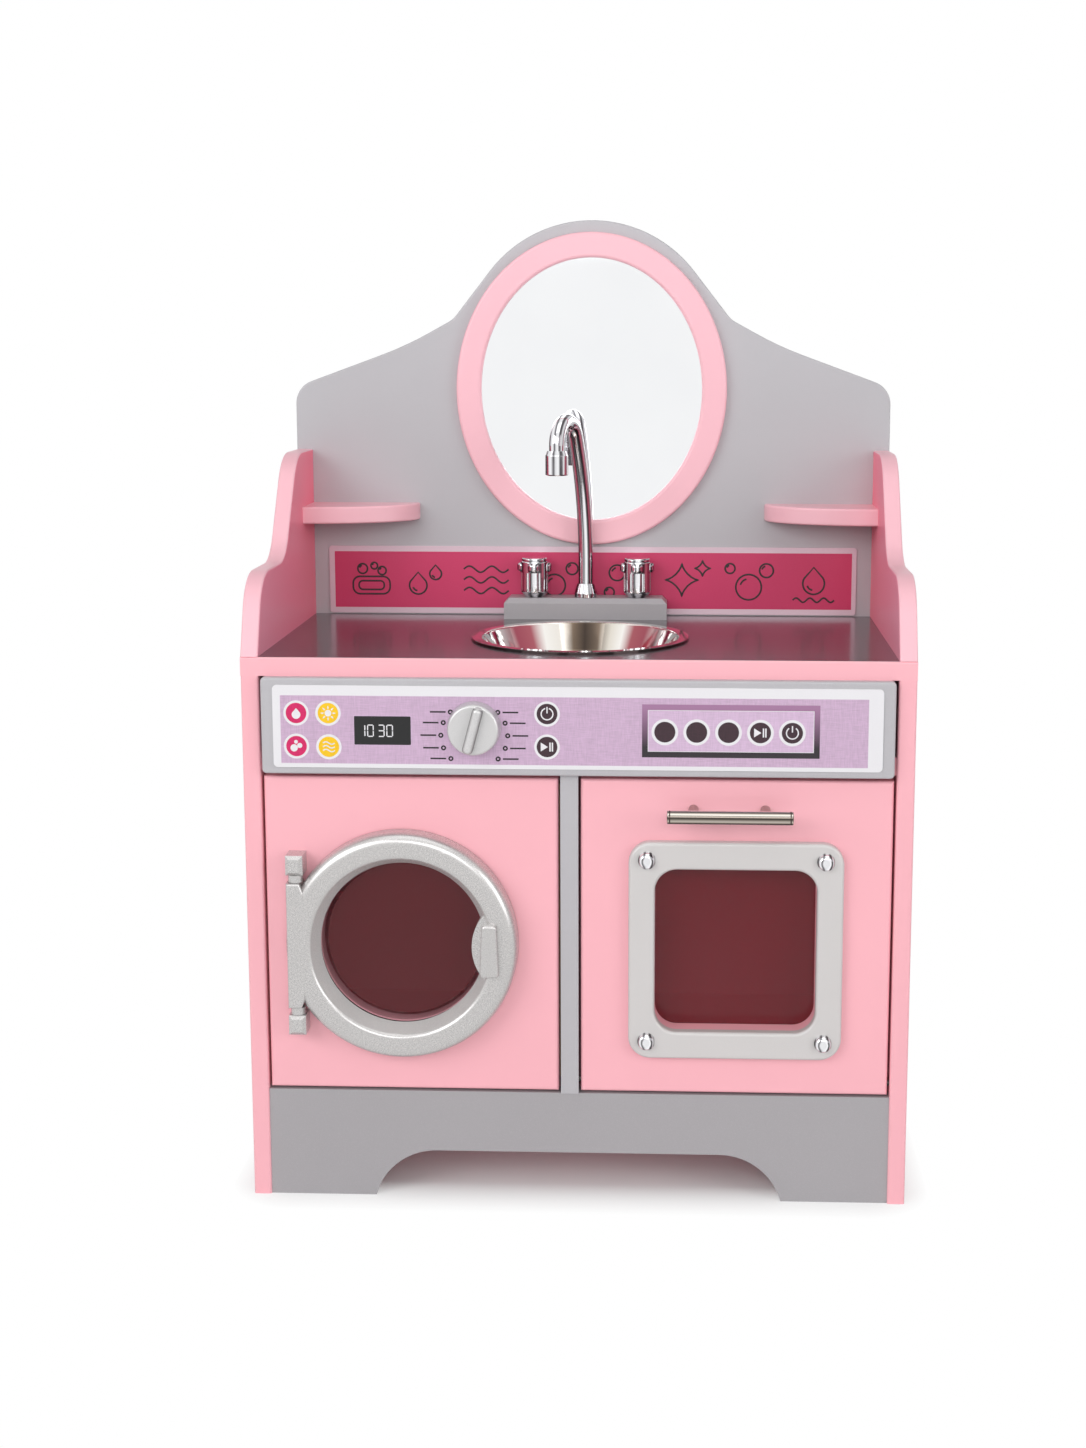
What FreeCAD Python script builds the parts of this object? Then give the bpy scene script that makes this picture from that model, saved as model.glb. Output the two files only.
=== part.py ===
import FreeCAD, Part
import math
import os

# Play kitchen with a washer on the left and an oven on the right. All sizes are in millimetres.
# X runs to the right, Y to the back, Z up. The origin is on the floor below the object's middle.

Vec = FreeCAD.Vector
ALONG_X = Vec(1, 0, 0)
ALONG_Y = Vec(0, 1, 0)
ALONG_Z = Vec(0, 0, 1)
TO_FRONT = Vec(0, -1, 0)

# Cabinet
WIDTH = 600.0
HEIGHT = 900.0
BODY_DEPTH = 300.0
BOARD = 16.0
BACK_BOARD = 12.0
LOWER_BACK_BOARD = 5.0
COUNTER_HEIGHT = 504.0
COUNTER_BOARD = 17.0
RAIL_BOARD = 16.0
RAIL_ROUND = 2.0
KICK_HEIGHT = 101.5
CONTROL_HEIGHT = 87.0
CONTROL_PROUD = 8.0
CONTROL_GAP = 3.0
CONTROL_CORNER = 4.0
DOOR_GAP = 2.0
DOOR_TOP_GAP = 4.5
DOOR_RECESS = 2.0
DIVIDER_X = -7.0
EDGE_ROUND = 2.0
DOOR_ROUND = 3.0
CLEAT = 14.0
CLEAT_END_GAP = 8.0

# Arch in the toe board
ARCH_WIDTH = 373.0
ARCH_HEIGHT = 44.0
ARCH_RADIUS = 58.6

# Cheeks on the counter, measured from the counter's top and front edge, and from the back panel
WING_HEIGHT = 168.5
WING_STEP_HEIGHT = 71.5
WING_LEAN = 27.0
WING_RISE_RUN = 68.0
WING_TOP_LENGTH = 83.5
WING_FRONT_ROUND = 45.0
WING_HOLLOW_ROUND = 50.0
WING_TOP_ROUND = 55.0

# Outline of the back panel, with drops measured from its top
CROWN_RADIUS = 130.0
CROWN_SLOPE = 52.0
CROWN_FOOT_X = 139.5
CROWN_FOOT_ROUND = 22.0
SHOULDER_BEND_X = 187.0
SHOULDER_BEND_DROP = 123.5
SHOULDER_BEND_ROUND = 350.0
SHOULDER_END_DROP = 165.0
SHOULDER_CORNER = 24.0
BACK_OVERLAP = 44.0
BACK_EDGE_ROUND = 1.5

# Mirror
MIRROR_TOP_GAP = 11.5
MIRROR_STRIP_GAP = 3.0
MIRROR_FRAME_WIDTH = 272.0
MIRROR_BAND = 25.0
MIRROR_FRAME_THICK = 9.0
MIRROR_FRAME_ROUND = 3.0
MIRROR_THICK = 3.0
MIRROR_LAP = 5.0

# Printed strip, and the two shelves
STRIP_SIDE_GAP = 15.0
STRIP_HEIGHT = 69.0
STRIP_THICK = 1.5
STRIP_LIFT = 1.0
STRIP_CORNER = 3.0
SHELF_LENGTH = 109.0
SHELF_DEPTH = 62.0
SHELF_BOARD = 17.0
SHELF_LIFT = 97.5

# Control plate and its dial
FASCIA_SIDE_MARGIN = 11.0
FASCIA_TOP_MARGIN = 6.4
FASCIA_THICK = 1.5
FASCIA_CORNER = 4.0
DIAL_X = -90.5
KNOB_RADIUS = 24.0
KNOB_THICK = 13.0
KNOB_DRAFT = 1.5
KNOB_ROUND = 2.5
KNOB_BAR_LENGTH = 43.0
KNOB_BAR_WIDTH = 9.5
KNOB_BAR_HEIGHT = 7.0
KNOB_BAR_ROUND = 4.0
KNOB_TILT = 15.0

# Turning shafts: a flanged spindle comes from behind, and the knob is pushed on its end
SPINDLE_RADIUS = 4.0
SPINDLE_FLANGE_RADIUS = 9.0
SPINDLE_FLANGE = 3.0
SPINDLE_GRIP = 9.0
TURN_GAP = 0.3
RUN_FIT = 0.08
PRESS_FIT = 0.03

# Sink
SINK_X = -3.5
SINK_FRONT_GAP = 24.0
SINK_BLOCK_GAP = 22.0
SINK_RIM_WIDTH = 9.0
SINK_RIM_THICK = 2.4
SINK_RIM_ROUND = 1.0
BOWL_TAPER = 30.0
BOWL_BASE_ROUND = 62.0
BOWL_DEPTH = 58.0
BOWL_WALL = 1.2
BOWL_LIP_ROUND = 3.0
SINK_CLEARANCE = 1.0

# Block with the spout and the two taps
FAUCET_X = -5.0
BLOCK_WIDTH = 164.0
BLOCK_DEPTH = 33.0
BLOCK_HEIGHT = 21.0
BLOCK_BEVEL = 5.0
BLOCK_BACK_GAP = 3.0
TAP_END_GAP = 30.0
TAP_HEIGHT = 39.5
TAP_RADIUS = 13.8
TAP_FOOT_RADIUS = 9.5
TAP_FOOT_HEIGHT = 5.0
TAP_CAP_RADIUS = 13.0
TAP_CAP_HEIGHT = 3.2
TAP_CROWN_HEIGHT = 11.5
TAP_LOBES = 4
TAP_LOBE_RADIUS = 6.2
TAP_LOBE_REACH = 17.5
TAP_LOBE_ROUND = 3.5
TAP_FLUTES = 8
TAP_FLUTE_RADIUS = 3.0
TAP_FLUTE_DEPTH = 1.4
TAP_ROUND = 1.5
TAP_GRIP = 22.0
SPOUT_TUBE_RADIUS = 7.5
SPOUT_WALL = 1.5
SPOUT_TOP = 186.2
SPOUT_REACH = 69.0
SPOUT_END_BEND = 22.7
SPOUT_DROP = 5.0
SPOUT_LEAN = 21.9
SPOUT_SWING = 21.4
SPOUT_STEM_GRIP = 25.0
COLLAR_RADIUS = 11.5
COLLAR_NECK_RADIUS = 8.6
COLLAR_HEIGHT = 13.5
COLLAR_FOOT = 4.0
NOZZLE_RADIUS = 11.2
NOZZLE_NECK_RADIUS = 9.5
NOZZLE_HEIGHT = 24.0
NOZZLE_SHOULDER = 4.5
NOZZLE_SOCKET = 9.0
NOZZLE_OUTLET_RADIUS = 8.0
NOZZLE_OUTLET_DEPTH = 5.0

# Washer door
WASHER_SHIFT = -8.0
WASHER_DROP = 5.5
WASHER_HOLE_RADIUS = 75.0
WASHER_HOLE_ROUND = 2.0
RING_RADIUS = 104.5
RING_FRONT_BORE = 82.5
RING_BORE = 74.5
RING_THICK = 22.0
RING_ROUND = 9.0
RING_INNER_ROUND = 5.0
RING_GAP = 1.0
WINDOW_THICK = 2.0
WINDOW_LAP = 7.0
RETAINER_THICK = 3.0
RETAINER_BAND = 6.0
HINGE_OFFSET = 95.0
HINGE_PROUD = 14.0
TAB_EDGE = 7.5
TAB_HEIGHT = 116.0
TAB_ROUND = 2.0
TAB_NOTCH_WIDTH = 3.0
TAB_NOTCH_HEIGHT = 8.0
HINGE_PIN_RADIUS = 2.5
HINGE_PIN_DEPTH = 13.0
HINGE_WASHER_RADIUS = 6.6
HINGE_WASHER_THICK = 6.6
BRACKET_WIDTH = 15.5
BRACKET_HEIGHT = 18.0
BRACKET_BEVEL = 3.0
LOBE_RADIUS = 47.0
LOBE_REACH = 63.5
LOBE_RECESS = 5.0
GRIP_X = 80.0
GRIP_DROP = 1.0
GRIP_HEIGHT = 48.5
GRIP_TOP_WIDTH = 13.5
GRIP_BASE_WIDTH = 17.5
GRIP_PROUD = 6.0
GRIP_CORNER = 3.5
GRIP_ROUND = 2.5
MAGNET_X = 92.0
MAGNET_RADIUS = 5.0
MAGNET_THICK = 4.0
STRIKE_DISC_THICK = 2.0

# Oven door
OVEN_FRAME_DROP = 10.0
OVEN_FRAME_WIDTH = 192.5
OVEN_FRAME_HEIGHT = 201.5
OVEN_FRAME_CORNER = 20.0
OVEN_FRAME_THICK = 9.0
OVEN_FRAME_ROUND = 3.0
OVEN_HOLE_WIDTH = 145.0
OVEN_HOLE_HEIGHT = 151.0
OVEN_HOLE_CORNER = 20.0
STUD_INSET = 16.5
STUD_RADIUS = 8.0
STUD_RISE = 6.0
STUD_ROUND = 5.0
STUD_SHANK_RADIUS = 2.5
STUD_SHANK_DEPTH = 10.0
PANE_LAP = 14.0
PANE_THICK = 2.5
PANE_SCREW_INSET = 7.0
PANE_SCREW_HEAD_RADIUS = 4.0
PANE_SCREW_HEAD = 2.5
PANE_SCREW_RADIUS = 1.7
PANE_SCREW_DEPTH = 9.0
HANDLE_REACH = 36.0
HANDLE_RADIUS = 6.0
HANDLE_LENGTH = 111.0
HANDLE_SPACING = 64.0
HANDLE_SHIFT = -6.5
HANDLE_DROP = 27.0
HANDLE_END_ROUND = 1.0
POST_RADIUS = 4.5
HANDLE_SCREW_RADIUS = 2.0
HANDLE_SCREW_HEAD_RADIUS = 4.5
HANDLE_SCREW_HEAD = 2.5
HANDLE_SCREW_GRIP = 14.0
PIVOT_FROM_FACE = 6.0
PIVOT_RISE = 10.0
PIVOT_RADIUS = 2.5
PIVOT_DEPTH = 12.0
BUSH_RADIUS = 3.8
CATCH_WIDTH = 40.0
CATCH_HEIGHT = 13.0
CATCH_DEPTH = 15.0
STRIKE_WIDTH = 30.0
STRIKE_HEIGHT = 12.0
STRIKE_THICK = 1.5
STRIKE_GAP = 0.4

# Fasteners of the carcass
DOWEL_RADIUS = 4.0
DOWEL_COVER = 4.0
DOWEL_END_GAP = 0.5
BOLT_RADIUS = 3.2
BOLT_HEAD_RADIUS = 5.0
BOLT_HEAD = 2.5
BOLT_LENGTH = 45.0
BOLT_SOCKET_RADIUS = 2.4
BOLT_SOCKET_DEPTH = 2.0
SCREW_RADIUS = 1.8
SCREW_HEAD_RADIUS = 4.0
SCREW_LENGTH = 30.0
FASTENER_FIT = 0.1

# Places that follow from the sizes above
SIDE_IN = WIDTH / 2 - BOARD
SIDE_MID = WIDTH / 2 - BOARD / 2
REAR_FACE = (BODY_DEPTH + HANDLE_REACH - DOOR_RECESS) / 2
FRONT = REAR_FACE - BODY_DEPTH
REAR = REAR_FACE - BACK_BOARD
PANEL_FACE = FRONT + DOOR_RECESS
PANEL_BACK = PANEL_FACE + BOARD
CONTROL_FACE = FRONT - CONTROL_PROUD
CONTROL_BACK = CONTROL_FACE + BOARD
FASCIA_FACE = CONTROL_FACE - FASCIA_THICK
COUNTER_UNDER = COUNTER_HEIGHT - COUNTER_BOARD
CONTROL_BOTTOM = COUNTER_UNDER - CONTROL_HEIGHT
CONTROL_MID = COUNTER_UNDER - CONTROL_HEIGHT / 2
DOOR_BOTTOM = KICK_HEIGHT + DOOR_GAP
DOOR_TOP = CONTROL_BOTTOM - DOOR_TOP_GAP
DOOR_MID = (DOOR_BOTTOM + DOOR_TOP) / 2
DIVIDER_LEFT = DIVIDER_X - BOARD / 2
DIVIDER_RIGHT = DIVIDER_X + BOARD / 2
BACK_BOTTOM = COUNTER_UNDER - BACK_OVERLAP
STRIP_WIDTH = 2 * (SIDE_IN - STRIP_SIDE_GAP)
STRIP_TOP = COUNTER_HEIGHT + STRIP_LIFT + STRIP_HEIGHT
MIRROR_FRAME_HEIGHT = HEIGHT - MIRROR_TOP_GAP - MIRROR_STRIP_GAP - STRIP_TOP
MIRROR_Z = HEIGHT - MIRROR_TOP_GAP - MIRROR_FRAME_HEIGHT / 2
FASCIA_WIDTH = 2 * (SIDE_IN - CONTROL_GAP - FASCIA_SIDE_MARGIN)
FASCIA_HEIGHT = CONTROL_HEIGHT - 2 * FASCIA_TOP_MARGIN
SHELF_Z = COUNTER_HEIGHT + SHELF_LIFT
DIAL_Z = CONTROL_MID
BLOCK_FRONT = REAR - BLOCK_BACK_GAP - BLOCK_DEPTH
FAUCET_Y = BLOCK_FRONT + BLOCK_DEPTH / 2
SINK_RIM_RADIUS = (BLOCK_FRONT - SINK_BLOCK_GAP - FRONT - SINK_FRONT_GAP) / 2
SINK_Y = FRONT + SINK_FRONT_GAP + SINK_RIM_RADIUS
BOWL_TOP_RADIUS = SINK_RIM_RADIUS - SINK_RIM_WIDTH
BOWL_BASE_RADIUS = BOWL_TOP_RADIUS - BOWL_TAPER
BLOCK_TOP = COUNTER_HEIGHT + BLOCK_HEIGHT
SPOUT_BASE = BLOCK_TOP + TURN_GAP
STEM_RADIUS = SPOUT_TUBE_RADIUS - SPOUT_WALL - PRESS_FIT
WASHER_LEFT = -SIDE_IN + DOOR_GAP
WASHER_RIGHT = DIVIDER_LEFT - DOOR_GAP
WASHER_X = (WASHER_LEFT + WASHER_RIGHT) / 2 + WASHER_SHIFT
WASHER_Z = DOOR_MID - WASHER_DROP
RING_REAR = PANEL_FACE - RING_GAP
RING_FACE = RING_REAR - RING_THICK
RING_SEAT = RETAINER_THICK + WINDOW_THICK
WINDOW_RADIUS = RING_BORE + WINDOW_LAP
HINGE_X = WASHER_X - HINGE_OFFSET
HINGE_Y = PANEL_FACE - HINGE_PROUD
HINGE_STACK = HINGE_WASHER_THICK + 2 * TURN_GAP
KNUCKLE_RADIUS = RING_REAR - HINGE_Y
OVEN_LEFT = DIVIDER_RIGHT + DOOR_GAP
OVEN_RIGHT = SIDE_IN - DOOR_GAP
OVEN_X = (OVEN_LEFT + OVEN_RIGHT) / 2
OVEN_Z = DOOR_MID - OVEN_FRAME_DROP
HANDLE_X = OVEN_X + HANDLE_SHIFT
HANDLE_Y = PANEL_FACE - HANDLE_REACH + HANDLE_RADIUS
HANDLE_Z = DOOR_TOP - HANDLE_DROP
PIVOT_Y = PANEL_FACE + PIVOT_FROM_FACE
PIVOT_Z = DOOR_BOTTOM + PIVOT_RISE
DOWEL_HALF = BOARD - DOWEL_COVER


def box(x0, x1, y0, y1, z0, z1):
    return Part.makeBox(x1 - x0, y1 - y0, z1 - z0, Vec(x0, y0, z0))


def rod(start, axis, radius, length):
    return Part.makeCylinder(radius, length, start, axis)


def front_plane(y):
    return lambda u, v: Vec(u, y, v)


def side_plane(x):
    return lambda u, v: Vec(x, u, v)


def outline(corners, place):
    """Closed wire through corners (u, v) or (u, v, radius), rounded as far as the runs leave room."""
    points = [place(corner[0], corner[1]) for corner in corners]
    runs = [after - here for here, after in zip(points, points[1:] + points[:1])]
    turns = [runs[i - 1].getAngle(runs[i]) for i in range(len(runs))]
    radii = [corner[2] if len(corner) > 2 else 0.0 for corner in corners]
    reaches = [radius * math.tan(turn / 2) for radius, turn in zip(radii, turns)]
    needed = [reaches[i - 1] + reaches[i] for i in range(len(runs))]
    lengths = [run.Length for run in runs[-1:] + runs[:-1]]
    room = [min(1.0, length / need) if need > 0 else 1.0 for need, length in zip(needed, lengths)]
    edges = []
    ends = []
    for i, here in enumerate(points):
        share = min(room[i], room[(i + 1) % len(room)])
        inward = Vec(runs[i - 1]).normalize()
        outward = Vec(runs[i]).normalize()
        start = here - inward * (reaches[i] * share)
        end = here + outward * (reaches[i] * share)
        if ends and ends[-1][1].distanceToPoint(start) > 1e-6:
            edges.append(Part.makeLine(ends[-1][1], start))
        if radii[i] > 0:
            bisector = (outward - inward).normalize()
            radius = radii[i] * share
            middle = here + bisector * (radius / math.cos(turns[i] / 2) - radius)
            edges.append(Part.Arc(start, middle, end).toShape())
        ends.append((start, end))
    if ends[-1][1].distanceToPoint(ends[0][0]) > 1e-6:
        edges.append(Part.makeLine(ends[-1][1], ends[0][0]))
    return Part.Wire(edges)


def rectangle(u0, u1, v0, v1, radius=0.0):
    return [(u0, v0, radius), (u1, v0, radius), (u1, v1, radius), (u0, v1, radius)]


def centred(u, v, width, height, radius=0.0):
    return rectangle(u - width / 2, u + width / 2, v - height / 2, v + height / 2, radius)


def prism(corners, place, sweep):
    return Part.Face(outline(corners, place)).extrude(sweep)


def turned(corners, centre, axis):
    """Solid of revolution whose corners hold (radius, height along the axis)."""
    side = ALONG_X
    face = Part.Face(outline(corners, lambda r, h: centre + side * r + axis * h))
    return face.revolve(centre, axis, 360)


def oval(centre, half_width, half_height, sweep):
    """Upright oval plate, seen from the front."""
    tips = [ALONG_Z * half_height, ALONG_X * half_width]
    if half_width > half_height:
        tips.reverse()
    curve = Part.Ellipse(centre + tips[0], centre + tips[1], centre)
    return Part.Face(Part.Wire(curve.toShape())).extrude(sweep)


def lies_on(edge, axis, value):
    """True where an edge lies in the plane at that value of axis 0, 1 or 2."""
    bounds = edge.BoundBox
    low = (bounds.XMin, bounds.YMin, bounds.ZMin)[axis]
    high = (bounds.XMax, bounds.YMax, bounds.ZMax)[axis]
    return abs(low - value) < 0.01 and abs(high - value) < 0.01


def rounded(shape, radius, chosen):
    return shape.makeFillet(radius, [edge for edge in shape.Edges if chosen(edge)])


def bevelled(shape, size, chosen):
    return shape.makeChamfer(size, [edge for edge in shape.Edges if chosen(edge)])


def group(solids):
    return Part.makeCompound(solids)


# Fasteners of the carcass

def dowel_places():
    """Middle and axis of each wooden dowel, one in every joint between two boards."""
    places = []
    for side in (-1, 1):
        for y in (FRONT + BODY_DEPTH / 5, REAR - BODY_DEPTH / 5):
            places.append((Vec(side * SIDE_MID, y, COUNTER_UNDER), ALONG_Z))
        for y in (FRONT + BODY_DEPTH / 3, REAR - BODY_DEPTH / 3):
            places.append((Vec(side * SIDE_MID, y, COUNTER_HEIGHT), ALONG_Z))
        for share in (1 / 3, 2 / 3):
            middle = Vec(side * SIDE_IN, REAR - SHELF_DEPTH * share, SHELF_Z + SHELF_BOARD / 2)
            places.append((middle, ALONG_X))
        x = side * WIDTH / 3
        places.append((Vec(x, CONTROL_BACK, CONTROL_BOTTOM + BOARD / 2), ALONG_Y))
        places.append((Vec(x, FRONT + RAIL_BOARD, COUNTER_HEIGHT - COUNTER_BOARD / 2), ALONG_Y))
        places.append((Vec(x, PANEL_BACK, KICK_HEIGHT - BOARD / 2), ALONG_Y))
        block_x = FAUCET_X + side * (BLOCK_WIDTH / 2 - BLOCK_BEVEL - 2 * DOWEL_RADIUS)
        places.append((Vec(block_x, FAUCET_Y, COUNTER_HEIGHT), ALONG_Z))
    for y in (FRONT + BODY_DEPTH / 4, REAR - BODY_DEPTH / 4):
        places.append((Vec(DIVIDER_X, y, KICK_HEIGHT), ALONG_Z))
        places.append((Vec(DIVIDER_X, y, CONTROL_BOTTOM), ALONG_Z))
    return places


def dowels(growth=0.0, end_gap=0.0):
    half = DOWEL_HALF + end_gap
    solids = []
    for middle, axis in dowel_places():
        solids.append(rod(middle - axis * half, axis, DOWEL_RADIUS + growth, 2 * half))
    return solids


def bolt_places():
    """Head and inward axis of each bolt through a side panel into a board's end."""
    places = []
    for side in (-1, 1):
        for z in (KICK_HEIGHT - BOARD / 2, CONTROL_BOTTOM + BOARD / 2):
            for y in (FRONT + BODY_DEPTH / 4, REAR - BODY_DEPTH / 4):
                places.append((Vec(side * WIDTH / 2, y, z), ALONG_X * -side))
    return places


def bolt(head, axis, growth=0.0):
    """Bolt with a flat countersunk head: a turned profile, built upright and then laid along its axis."""
    wide = BOLT_HEAD_RADIUS + growth
    slim = BOLT_RADIUS + growth
    end = BOLT_LENGTH + growth
    profile = [(0, 0), (wide, 0), (slim, BOLT_HEAD), (slim, end), (0, end)]
    solid = turned(profile, Vec(0, 0, 0), ALONG_Z)
    solid.Placement = FreeCAD.Placement(head, FreeCAD.Rotation(ALONG_Z, axis))
    return solid


def hex_socket(head, axis):
    corners = []
    for k in range(6):
        angle = math.radians(60 * k)
        corners.append((BOLT_SOCKET_RADIUS * math.cos(angle), BOLT_SOCKET_RADIUS * math.sin(angle)))
    solid = prism(corners, lambda u, v: Vec(u, v, 0), ALONG_Z * BOLT_SOCKET_DEPTH)
    solid.Placement = FreeCAD.Placement(head, FreeCAD.Rotation(ALONG_Z, axis))
    return solid


def side_bolts():
    return group([bolt(head, axis).cut(hex_socket(head, axis)) for head, axis in bolt_places()])


def screw_places():
    """Head of each screw that holds the back boards, driven straight to the front."""
    low_face = REAR + LOWER_BACK_BOARD
    places = [Vec(DIVIDER_X, low_face, DOOR_MID)]
    for side in (-1, 1):
        edge = side * SIDE_MID
        inside = side * WIDTH / 4
        for share in (1 / 4, 4 / 5):
            places.append(Vec(edge, REAR_FACE, COUNTER_HEIGHT + WING_HEIGHT * share))
        places.append(Vec(edge, REAR_FACE, COUNTER_UNDER - BACK_OVERLAP / 2))
        places.append(Vec(inside, REAR_FACE, COUNTER_HEIGHT - COUNTER_BOARD / 2))
        for z in (DOOR_BOTTOM + CONTROL_HEIGHT, DOOR_TOP - CONTROL_HEIGHT):
            places.append(Vec(edge, low_face, z))
        places.append(Vec(inside, low_face, KICK_HEIGHT - BOARD / 2))
        places.append(Vec(inside, low_face, CONTROL_BOTTOM + BOARD / 2))
    return places


def back_screw(head, growth=0.0):
    wide = SCREW_HEAD_RADIUS + growth
    slim = SCREW_RADIUS + growth
    end = SCREW_LENGTH + growth
    profile = [(0, 0), (wide, 0), (slim, wide - slim), (slim, end), (0, end)]
    return turned(profile, head, TO_FRONT)


def drilled(shape):
    """The shape with the holes of every dowel, bolt and back screw that reaches it."""
    holes = dowels(FASTENER_FIT, DOWEL_END_GAP)
    holes += [bolt(head, axis, FASTENER_FIT) for head, axis in bolt_places()]
    holes += [back_screw(head, FASTENER_FIT) for head in screw_places()]
    near = [hole for hole in holes if hole.BoundBox.intersect(shape.BoundBox)]
    return shape.cut(group(near)) if near else shape


# Cabinet

def side_panel(side):
    x = min(side * WIDTH / 2, side * SIDE_IN)
    panel = box(x, x + BOARD, FRONT, REAR, 0, COUNTER_UNDER)

    def front_edge(edge):
        return lies_on(edge, 1, FRONT) and edge.BoundBox.ZLength > BOARD
    panel = drilled(rounded(panel, EDGE_ROUND, front_edge))
    if side > 0:
        panel = panel.cut(pivot_rod(SIDE_IN, PRESS_FIT))
    return panel


def base_board():
    return drilled(box(-SIDE_IN, SIDE_IN, PANEL_BACK, REAR, KICK_HEIGHT - BOARD, KICK_HEIGHT))


def mid_board():
    return drilled(box(-SIDE_IN, SIDE_IN, CONTROL_BACK, REAR, CONTROL_BOTTOM, CONTROL_BOTTOM + BOARD))


def divider_panel():
    panel = box(DIVIDER_LEFT, DIVIDER_RIGHT, FRONT, REAR, KICK_HEIGHT, CONTROL_BOTTOM)
    return drilled(panel).cut(pivot_rod(DIVIDER_RIGHT, PRESS_FIT))


def kick_board():
    """Toe board with a flat arch that ends in a round at each foot."""
    centre_z = ARCH_HEIGHT - ARCH_RADIUS
    spread = math.sqrt(ARCH_RADIUS ** 2 - centre_z ** 2)
    flat = ARCH_WIDTH / 2 - spread
    angle = math.atan2(-centre_z, spread)
    middle_angle = (angle + math.pi / 2) / 2
    place = front_plane(PANEL_FACE)

    def on_round(side, at):
        return place(side * (flat + ARCH_RADIUS * math.cos(at)), centre_z + ARCH_RADIUS * math.sin(at))
    left_round = Part.Arc(on_round(-1, angle), on_round(-1, middle_angle), on_round(-1, math.pi / 2))
    right_round = Part.Arc(on_round(1, math.pi / 2), on_round(1, middle_angle), on_round(1, angle))
    corners = [place(ARCH_WIDTH / 2, 0), place(SIDE_IN, 0), place(SIDE_IN, KICK_HEIGHT),
               place(-SIDE_IN, KICK_HEIGHT), place(-SIDE_IN, 0), place(-ARCH_WIDTH / 2, 0)]
    edges = [Part.makeLine(a, b) for a, b in zip(corners, corners[1:])]
    edges.append(left_round.toShape())
    edges.append(Part.makeLine(place(-flat, ARCH_HEIGHT), place(flat, ARCH_HEIGHT)))
    edges.append(right_round.toShape())
    return drilled(Part.Face(Part.Wire(edges)).extrude(ALONG_Y * BOARD))


def kick_cleats():
    blocks = []
    for side in (-1, 1):
        x = min(side * SIDE_IN, side * (SIDE_IN - CLEAT))
        top = KICK_HEIGHT - BOARD
        blocks.append(box(x, x + CLEAT, PANEL_BACK, PANEL_BACK + CLEAT, CLEAT_END_GAP, top))
    return group(blocks)


def countertop():
    board = box(-WIDTH / 2, WIDTH / 2, FRONT + RAIL_BOARD, REAR, COUNTER_UNDER, COUNTER_HEIGHT)
    under = Vec(SINK_X, SINK_Y, COUNTER_UNDER)
    board = board.cut(rod(under, ALONG_Z, BOWL_TOP_RADIUS + SINK_CLEARANCE, COUNTER_BOARD))
    return drilled(board).cut(faucet_holes())


def front_rail():
    rail = box(-WIDTH / 2, WIDTH / 2, FRONT, FRONT + RAIL_BOARD, COUNTER_UNDER, COUNTER_HEIGHT)

    def front_top(edge):
        return lies_on(edge, 1, FRONT) and lies_on(edge, 2, COUNTER_HEIGHT)
    return drilled(rounded(rail, RAIL_ROUND, front_top))


def wing(side):
    """Cheek with a leaning front, a low step and a hollow that sweeps up to the back panel."""
    x = min(side * WIDTH / 2, side * SIDE_IN)
    step = COUNTER_HEIGHT + WING_STEP_HEIGHT
    top = COUNTER_HEIGHT + WING_HEIGHT
    rise = REAR - WING_TOP_LENGTH
    profile = [(REAR, COUNTER_HEIGHT), (FRONT, COUNTER_HEIGHT),
               (FRONT + WING_LEAN, step, WING_FRONT_ROUND),
               (rise - WING_RISE_RUN, step, WING_HOLLOW_ROUND),
               (rise, top, WING_TOP_ROUND), (REAR, top)]
    cheek = prism(profile, side_plane(x), ALONG_X * BOARD)

    def rim(edge):
        on_face = lies_on(edge, 0, x) or lies_on(edge, 0, x + BOARD)
        return on_face and not lies_on(edge, 1, REAR) and not lies_on(edge, 2, COUNTER_HEIGHT)
    return drilled(rounded(cheek, EDGE_ROUND, rim))


def shelf(side):
    """Quarter-oval shelf in the corner between a cheek and the back panel."""
    corner = Vec(side * SIDE_IN, REAR, SHELF_Z)
    tip = corner - ALONG_X * (side * SHELF_LENGTH)
    front = corner + TO_FRONT * SHELF_DEPTH
    curve = Part.Arc(Part.Ellipse(tip, front, corner), 0, math.pi / 2).toShape()
    wire = Part.Wire([curve, Part.makeLine(front, corner), Part.makeLine(corner, tip)])
    plate = Part.Face(wire).extrude(ALONG_Z * SHELF_BOARD)
    return drilled(rounded(plate, EDGE_ROUND, lambda edge: isinstance(edge.Curve, Part.Ellipse)))


def back_panel():
    """Back with rounded corners, hollow shoulders and a round crown."""
    slope = math.radians(CROWN_SLOPE)
    peak = HEIGHT - CROWN_RADIUS + CROWN_RADIUS / math.cos(slope)
    half = [(WIDTH / 2, BACK_BOTTOM),
            (WIDTH / 2, HEIGHT - SHOULDER_END_DROP, SHOULDER_CORNER),
            (SHOULDER_BEND_X, HEIGHT - SHOULDER_BEND_DROP, SHOULDER_BEND_ROUND),
            (CROWN_FOOT_X, peak - CROWN_FOOT_X * math.tan(slope), CROWN_FOOT_ROUND)]
    mirrored = [(-corner[0],) + corner[1:] for corner in reversed(half)]
    profile = half + [(0, peak, CROWN_RADIUS)] + mirrored
    panel = prism(profile, front_plane(REAR), ALONG_Y * BACK_BOARD)

    def front_rim(edge):
        return lies_on(edge, 1, REAR) and not lies_on(edge, 2, BACK_BOTTOM)
    return drilled(rounded(panel, BACK_EDGE_ROUND, front_rim))


def lower_back_panel():
    low = KICK_HEIGHT - BOARD
    return drilled(box(-WIDTH / 2, WIDTH / 2, REAR, REAR + LOWER_BACK_BOARD, low, BACK_BOTTOM))


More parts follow.
